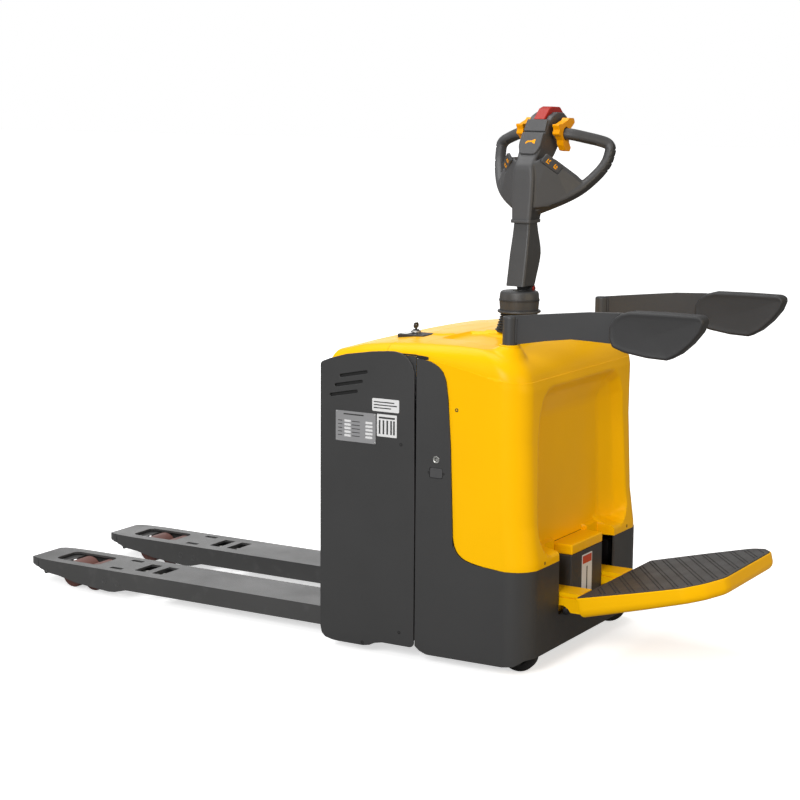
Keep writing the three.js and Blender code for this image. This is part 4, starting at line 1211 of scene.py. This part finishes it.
def fittings():
    lock = (366, -367.4, 565)
    ring = turned("key_lock_ring", [(4.4, -3), (7.6, -3), (7.6, 0.2), (9.6, 0.4), (9.8, 1.4), (8.6, 2.4),
                                    (5.6, 1.4), (4.4, -1)], lock, (0, -1, 0), 48)
    done(ring, ZINC, "chassis", (), 30)
    plug = turned("key_lock_core", [(0, -4), (4.2, -4), (4.2, -2), (3.4, -0.8), (0, -0.4)],
                  lock, (0, -1, 0), 32)
    done(plug, STEEL, "chassis", (), 30)
    flap = prism("charge_flap_lid", rounded(rect(347, 385, 516, 542), 6, 6), "y", -368.3, -365.6)
    bevel(flap, 0.9, 3, 50)
    done(flap, HEAD, "charge_flap", ["charge_cover"], 34)
    for k, x in enumerate((343.6, 388.4)):
        screw("charge_ear_%d" % k, x, -367.9, 529, (0, -1, 0), "chassis", 3.4)
    for s in (-1, 1):
        lo, hi = sorted((s * 361.3, s * 361.9))
        fill = prism("skirt_fill_%d" % (s + 1), rounded(rect(254, 299.2, 772, 836), 1, 2), "y", lo, hi)
        done(fill, GREY, "chassis", (), 30)
        lo, hi = sorted((s * 361.25, s * 361.85))
        gap = prism("seam_gap_front_%d" % (s + 1), thick_line((255, 838.6), (298, 838.6), 2, 4), "y", lo, hi)
        done(gap, DARK, "chassis", (), 30)
        lo, hi = sorted((s * 363.4, s * 364.25))
        gap = prism("seam_gap_rear_%d" % (s + 1), rounded([(301, 831.4), (337, 828.6), (337, 837),
                                                           (301, 840.4)], 1, 3), "y", lo, hi)
        done(gap, DARK, "chassis", (), 30)

    # Painted shade: a near-black sheet just inside each cover, behind the vent slots, stands in for the shade
    # inside the slots.
    for s in (-1, 1):
        lo, hi = sorted((s * 361.3, s * 361.95))
        back = prism("vent_shade_sheet_%d" % (s + 1), rounded([(22, 696), (160, 706), (160, 792), (22, 786)], 2,
                                                          2), "y", lo, hi)
        done(back, DARK, "fork_frame", (), 30)
    panel = prism("display_panel", rounded(rect(149, 231, -211, -143), 7, 6), "z", 857, 869.5)
    bevel(panel, 1.6, 3, 50)
    done(panel, BLACK, "chassis", ["instrument_panel"], 34)
    glass = prism("display_window", rounded(rect(156, 176, -206, -150), 3, 5), "z", 869, 870.3)
    bevel(glass, 0.4, 2, 50)
    done(glass, GLASS, "chassis", (), 30)
    bezel = turned("key_bezel", [(9.6, 872), (14, 872), (14, 875.5), (12.4, 877), (9.6, 877)],
                   KEY, "z", 48)
    done(bezel, ZINC, "chassis", (), 30)
    barrel = turned("key_barrel", [(0, 874.4), (9, 874.4), (9, 878.6), (8, 880), (0, 880)], KEY, "z", 40)
    bow = prism("bow", rounded([(-11, 884), (11, 884), (12.5, 892), (9, 899), (-9, 899), (-12.5, 892)], 5, 5),
                "x", 184.2, 187.8)
    for v in bow.data.vertices:
        v.co.y += KEY[1] / 1000
    boolean(bow, rod("hole", 3, 5, (KEY[0], KEY[1], 893), "x", 24, -5))
    bevel(bow, 0.9, 3, 50)
    blade = block("blade", 184.9, 187.1, -174.5, -165.5, 879.5, 886)
    ob = join("ignition_key", [barrel, bow, blade])
    done(ob, BLACK, "ignition_key", ["key"], 34)


fittings()


def label(name, edges, mat, lift, r):
    """A flat plate on the left cover."""
    ob = prism(name, rounded(rect(*edges), r, 4), "y", -PANEL_Y - lift, -PANEL_Y + 0.05)
    done(ob, mat, "fork_frame", (), 30)


def bars(name, rows, mat, y):
    """Small raised blocks on a label, as one mesh."""
    parts = [prism("bar", rounded(rect(*row), 0.5, 2), "y", y - 0.2, y + 0.02) for row in rows]
    done(join(name, parts), mat, "fork_frame", (), 30)


def rear_mark(name, outline, mat, low, high):
    done(prism(name, outline, "x", low, high), mat, "chassis", (), 30)


def labels():
    label("data_plate", (51, 178, 588, 671), PLATE, 0.7, 2)
    lines = [646 - 10 * k for k in range(5)]
    rows = [(a, b, z - 3, z - 1) for z in lines for a, b in ((58, 72), (103, 128))]
    bars("data_plate_lines", rows + [(76, 140, 661, 664.5)], INK, -368.7)
    rows = [(a, b, z - 5, z + 1) for z in lines for a, b in ((79, 99), (146, 168))]
    bars("data_plate_fields", rows, LABEL, -368.7)
    for k, (x, z) in enumerate(((54.5, 591.5), (174.5, 591.5), (54.5, 667.5), (174.5, 667.5))):
        screw("plate_rivet_%d" % k, x, -368.8, z, (0, -1, 0), "fork_frame", 2.2, STEEL)
    label("info_label", (167, 251, 679, 714), LABEL, 0.5, 4)
    rows = [(172, b, z, z + 3) for b, z in ((236, 703), (244, 695), (226, 687))]
    bars("info_label_lines", rows, INK, -368.5)
    label("square_label", (182, 244, 611, 672), LABEL, 0.5, 2)
    rows = [(188, 238, 660, 665)] + [(a, a + 5, 618, 656) for a in (188, 200, 212, 224, 233)]
    bars("square_label_bars", rows, INK, -368.5)
    rear_mark("rear_label", rounded(rect(-33, 31, 142, 272), 3, 4), LABEL, 639.5, 640.2)
    rear_mark("rear_label_header", rounded(rect(-29, 27, 246, 268), 1, 3), BAND, 640.1, 640.5)
    mark = [(-18, 156), (16, 156), (16, 162), (2, 172), (2, 236), (-4, 236), (-4, 172), (-18, 162)]
    rear_mark("rear_label_mark", mark, INK, 640.1, 640.5)


labels()


# ---- castors, drive wheel and the parts inside ---------------------------------------------------


def wheels():
    for side, s in SIDES:
        a = math.radians(8 if s < 0 else 45)
        c = Vector((556 + 24 * math.cos(a), s * 284 + 24 * math.sin(a), 50))
        axle = Vector((-math.sin(a), math.cos(a), 0))
        tyre = turned("castor_tyre_" + side, [(30, -19), (43, -19), (48, -16.5), (50, -11), (50, 11),
                                              (48, 16.5), (43, 19), (30, 19)], c, axle, 80)
        done(tyre, RUBBER, "castor_wheel_" + side[0], ["castor_wheel_" + side], 30)
        hub = turned("castor_hub_" + side, [(6.6, -18.6), (13, -18.6), (14, -15), (26, -13), (28, -17),
                                            (30, -18.6), (30, 18.6), (28, 17), (26, 13), (14, 15),
                                            (13, 18.6), (6.6, 18.6)], c, axle, 64)
        done(hub, IRON, "castor_wheel_" + side[0], (), 30)
    tyre = turned("drive_tyre", [(92, -36), (106, -37), (112, -34.5), (115, -29), (115, 29), (112, 34.5),
                                 (106, 37), (92, 36)], (STEER_X, 0, 115), "x", 120)
    done(tyre, PU, "wheel_drive", ["drive_wheel"], 30)
    hub = turned("drive_hub", [(20.8, -36), (92, -34), (92, 34), (86, 30), (42, 28), (36, 36), (20.8, 36)],
                 (STEER_X, 0, 115), "x", 96)
    done(hub, IRON, "wheel_drive", (), 30)


wheels()


def dress(name, mat, width=1.2):
    """A CAD piece kept as it is, with a material and softened edges."""
    ob = bpy.data.objects[name]
    ob.data.materials.clear()
    ob.data.materials.append(mat)
    w = ob.modifiers.new("weld", "WELD")
    w.merge_threshold = 1e-5
    b = ob.modifiers.new("soft", "BEVEL")
    b.width = width / 1000
    b.segments = 2
    b.limit_method = "ANGLE"
    b.angle_limit = math.radians(40)
    ob.data.set_sharp_from_angle(angle=math.radians(35))


dress("base_frame", GREY)
dress("fork_carriage", GREY)
dress("battery", BLACK, 3)
dress("pump_unit", IRON)
dress("drive_unit", IRON)
dress("traction_motor", BLACK)
dress("rocker_shaft", STEEL, 0.6)
for side, s in SIDES:
    dress("lift_cylinder_" + side, BLACK, 0.8)
    dress("lift_rod_" + side, STEEL, 0.8)
    dress("push_rod_" + side, ZINC, 0.5)
    dress("load_arm_" + side, IRON, 0.8)
    dress("bogie_" + side, ZINC, 0.6)
    dress("castor_fork_" + side, ZINC, 0.8)


# ---- floor, light and camera ---------------------------------------------------------------------


def studio():
    n, far = 24, 40.0
    me = bpy.data.meshes.new("floor")
    ticks = [-far + 2 * far * i / n for i in range(n + 1)]
    faces = [(i * (n + 1) + j, (i + 1) * (n + 1) + j, (i + 1) * (n + 1) + j + 1, i * (n + 1) + j + 1)
             for i in range(n) for j in range(n)]
    me.from_pydata([(x, y, -0.0004) for x in ticks for y in ticks], [], faces)
    floor = added("floor", me)
    paper = material("studio_floor", (0.9, 0.9, 0.9), 0.8, bump=0.02, spec=0.2)
    nt = paper.node_tree
    seen = node(nt, "LightPath").outputs["Is Camera Ray"]
    reach = node(nt, "VectorMath")
    reach.operation = "LENGTH"
    nt.links.new(node(nt, "NewGeometry").outputs["Position"], reach.inputs[0])
    glow = node(nt, "Math")
    glow.operation = "MULTIPLY"
    nt.links.new(seen, glow.inputs[0])
    nt.links.new(ranged(nt, reach.outputs["Value"], 0.62, 1.0, 1.6, 4.0), glow.inputs[1])
    shade = nt.nodes["Principled BSDF"].inputs
    tint = mixed(nt, seen)
    tint.inputs["A"].default_value = (0.3, 0.3, 0.3, 1)
    nt.links.new(shade["Base Color"].links[0].from_socket, tint.inputs["B"])
    nt.links.new(tint.outputs["Result"], shade["Base Color"])
    shade["Emission Color"].default_value = (1, 1, 1, 1)
    nt.links.new(glow.outputs[0], shade["Emission Strength"])
    floor.data.materials.append(paper)

    def area(name, loc, aim, size, power, color=(1, 1, 1)):
        li = bpy.data.lights.new(name, "AREA")
        li.shape = "RECTANGLE"
        li.size, li.size_y = size
        li.energy = power
        li.color = color
        ob = added(name, li)
        ob.location = loc
        ob.rotation_euler = (Vector(aim) - Vector(loc)).to_track_quat("-Z", "Y").to_euler()
        ob.visible_camera = False

    area("key", (1.0, -4.8, 2.7), (0.1, -0.2, 0.5), (2.0, 1.8), 172)
    area("front", (-4.4, -2.2, 1.8), (0, 0, 0.5), (2.4, 2.4), 30)
    area("top", (-0.8, 0.0, 4.4), (0.0, 0, 0.6), (3.4, 3.0), 112)
    area("rear", (5.2, -0.6, 2.0), (0.4, 0, 0.5), (2.6, 1.8), 66, (1.0, 0.82, 0.56))
    area("back", (-3.2, 4.6, 1.3), (-0.5, 0, 0.4), (3.4, 1.8), 24)

    world = bpy.data.worlds.new("studio")
    bpy.context.scene.world = world
    world.use_nodes = True
    nt = world.node_tree
    back = nt.nodes["Background"]
    back.inputs["Color"].default_value = (1, 1, 1, 1)
    seen = node(nt, "LightPath").outputs["Is Camera Ray"]
    nt.links.new(ranged(nt, seen, 0.34, 1.0), back.inputs["Strength"])
    bpy.context.scene.view_settings.view_transform = "Standard"


studio()

cam = bpy.data.cameras.new("camera")
cam.lens = 88.53
cam.sensor_width = 36.0
cam_ob = added("camera", cam)
AZ, PITCH, ROLL = (math.radians(a) for a in (30.636, 9.229, 0.41))
look = Vector((-math.sin(AZ) * math.cos(PITCH), math.cos(AZ) * math.cos(PITCH), -math.sin(PITCH)))
turn = look.to_track_quat("-Z", "Y").to_matrix().to_4x4() @ Matrix.Rotation(ROLL, 4, "Z")
cam_ob.matrix_world = Matrix.Translation((2.9038, -4.8197, 1.5562)) @ turn
bpy.context.scene.camera = cam_ob
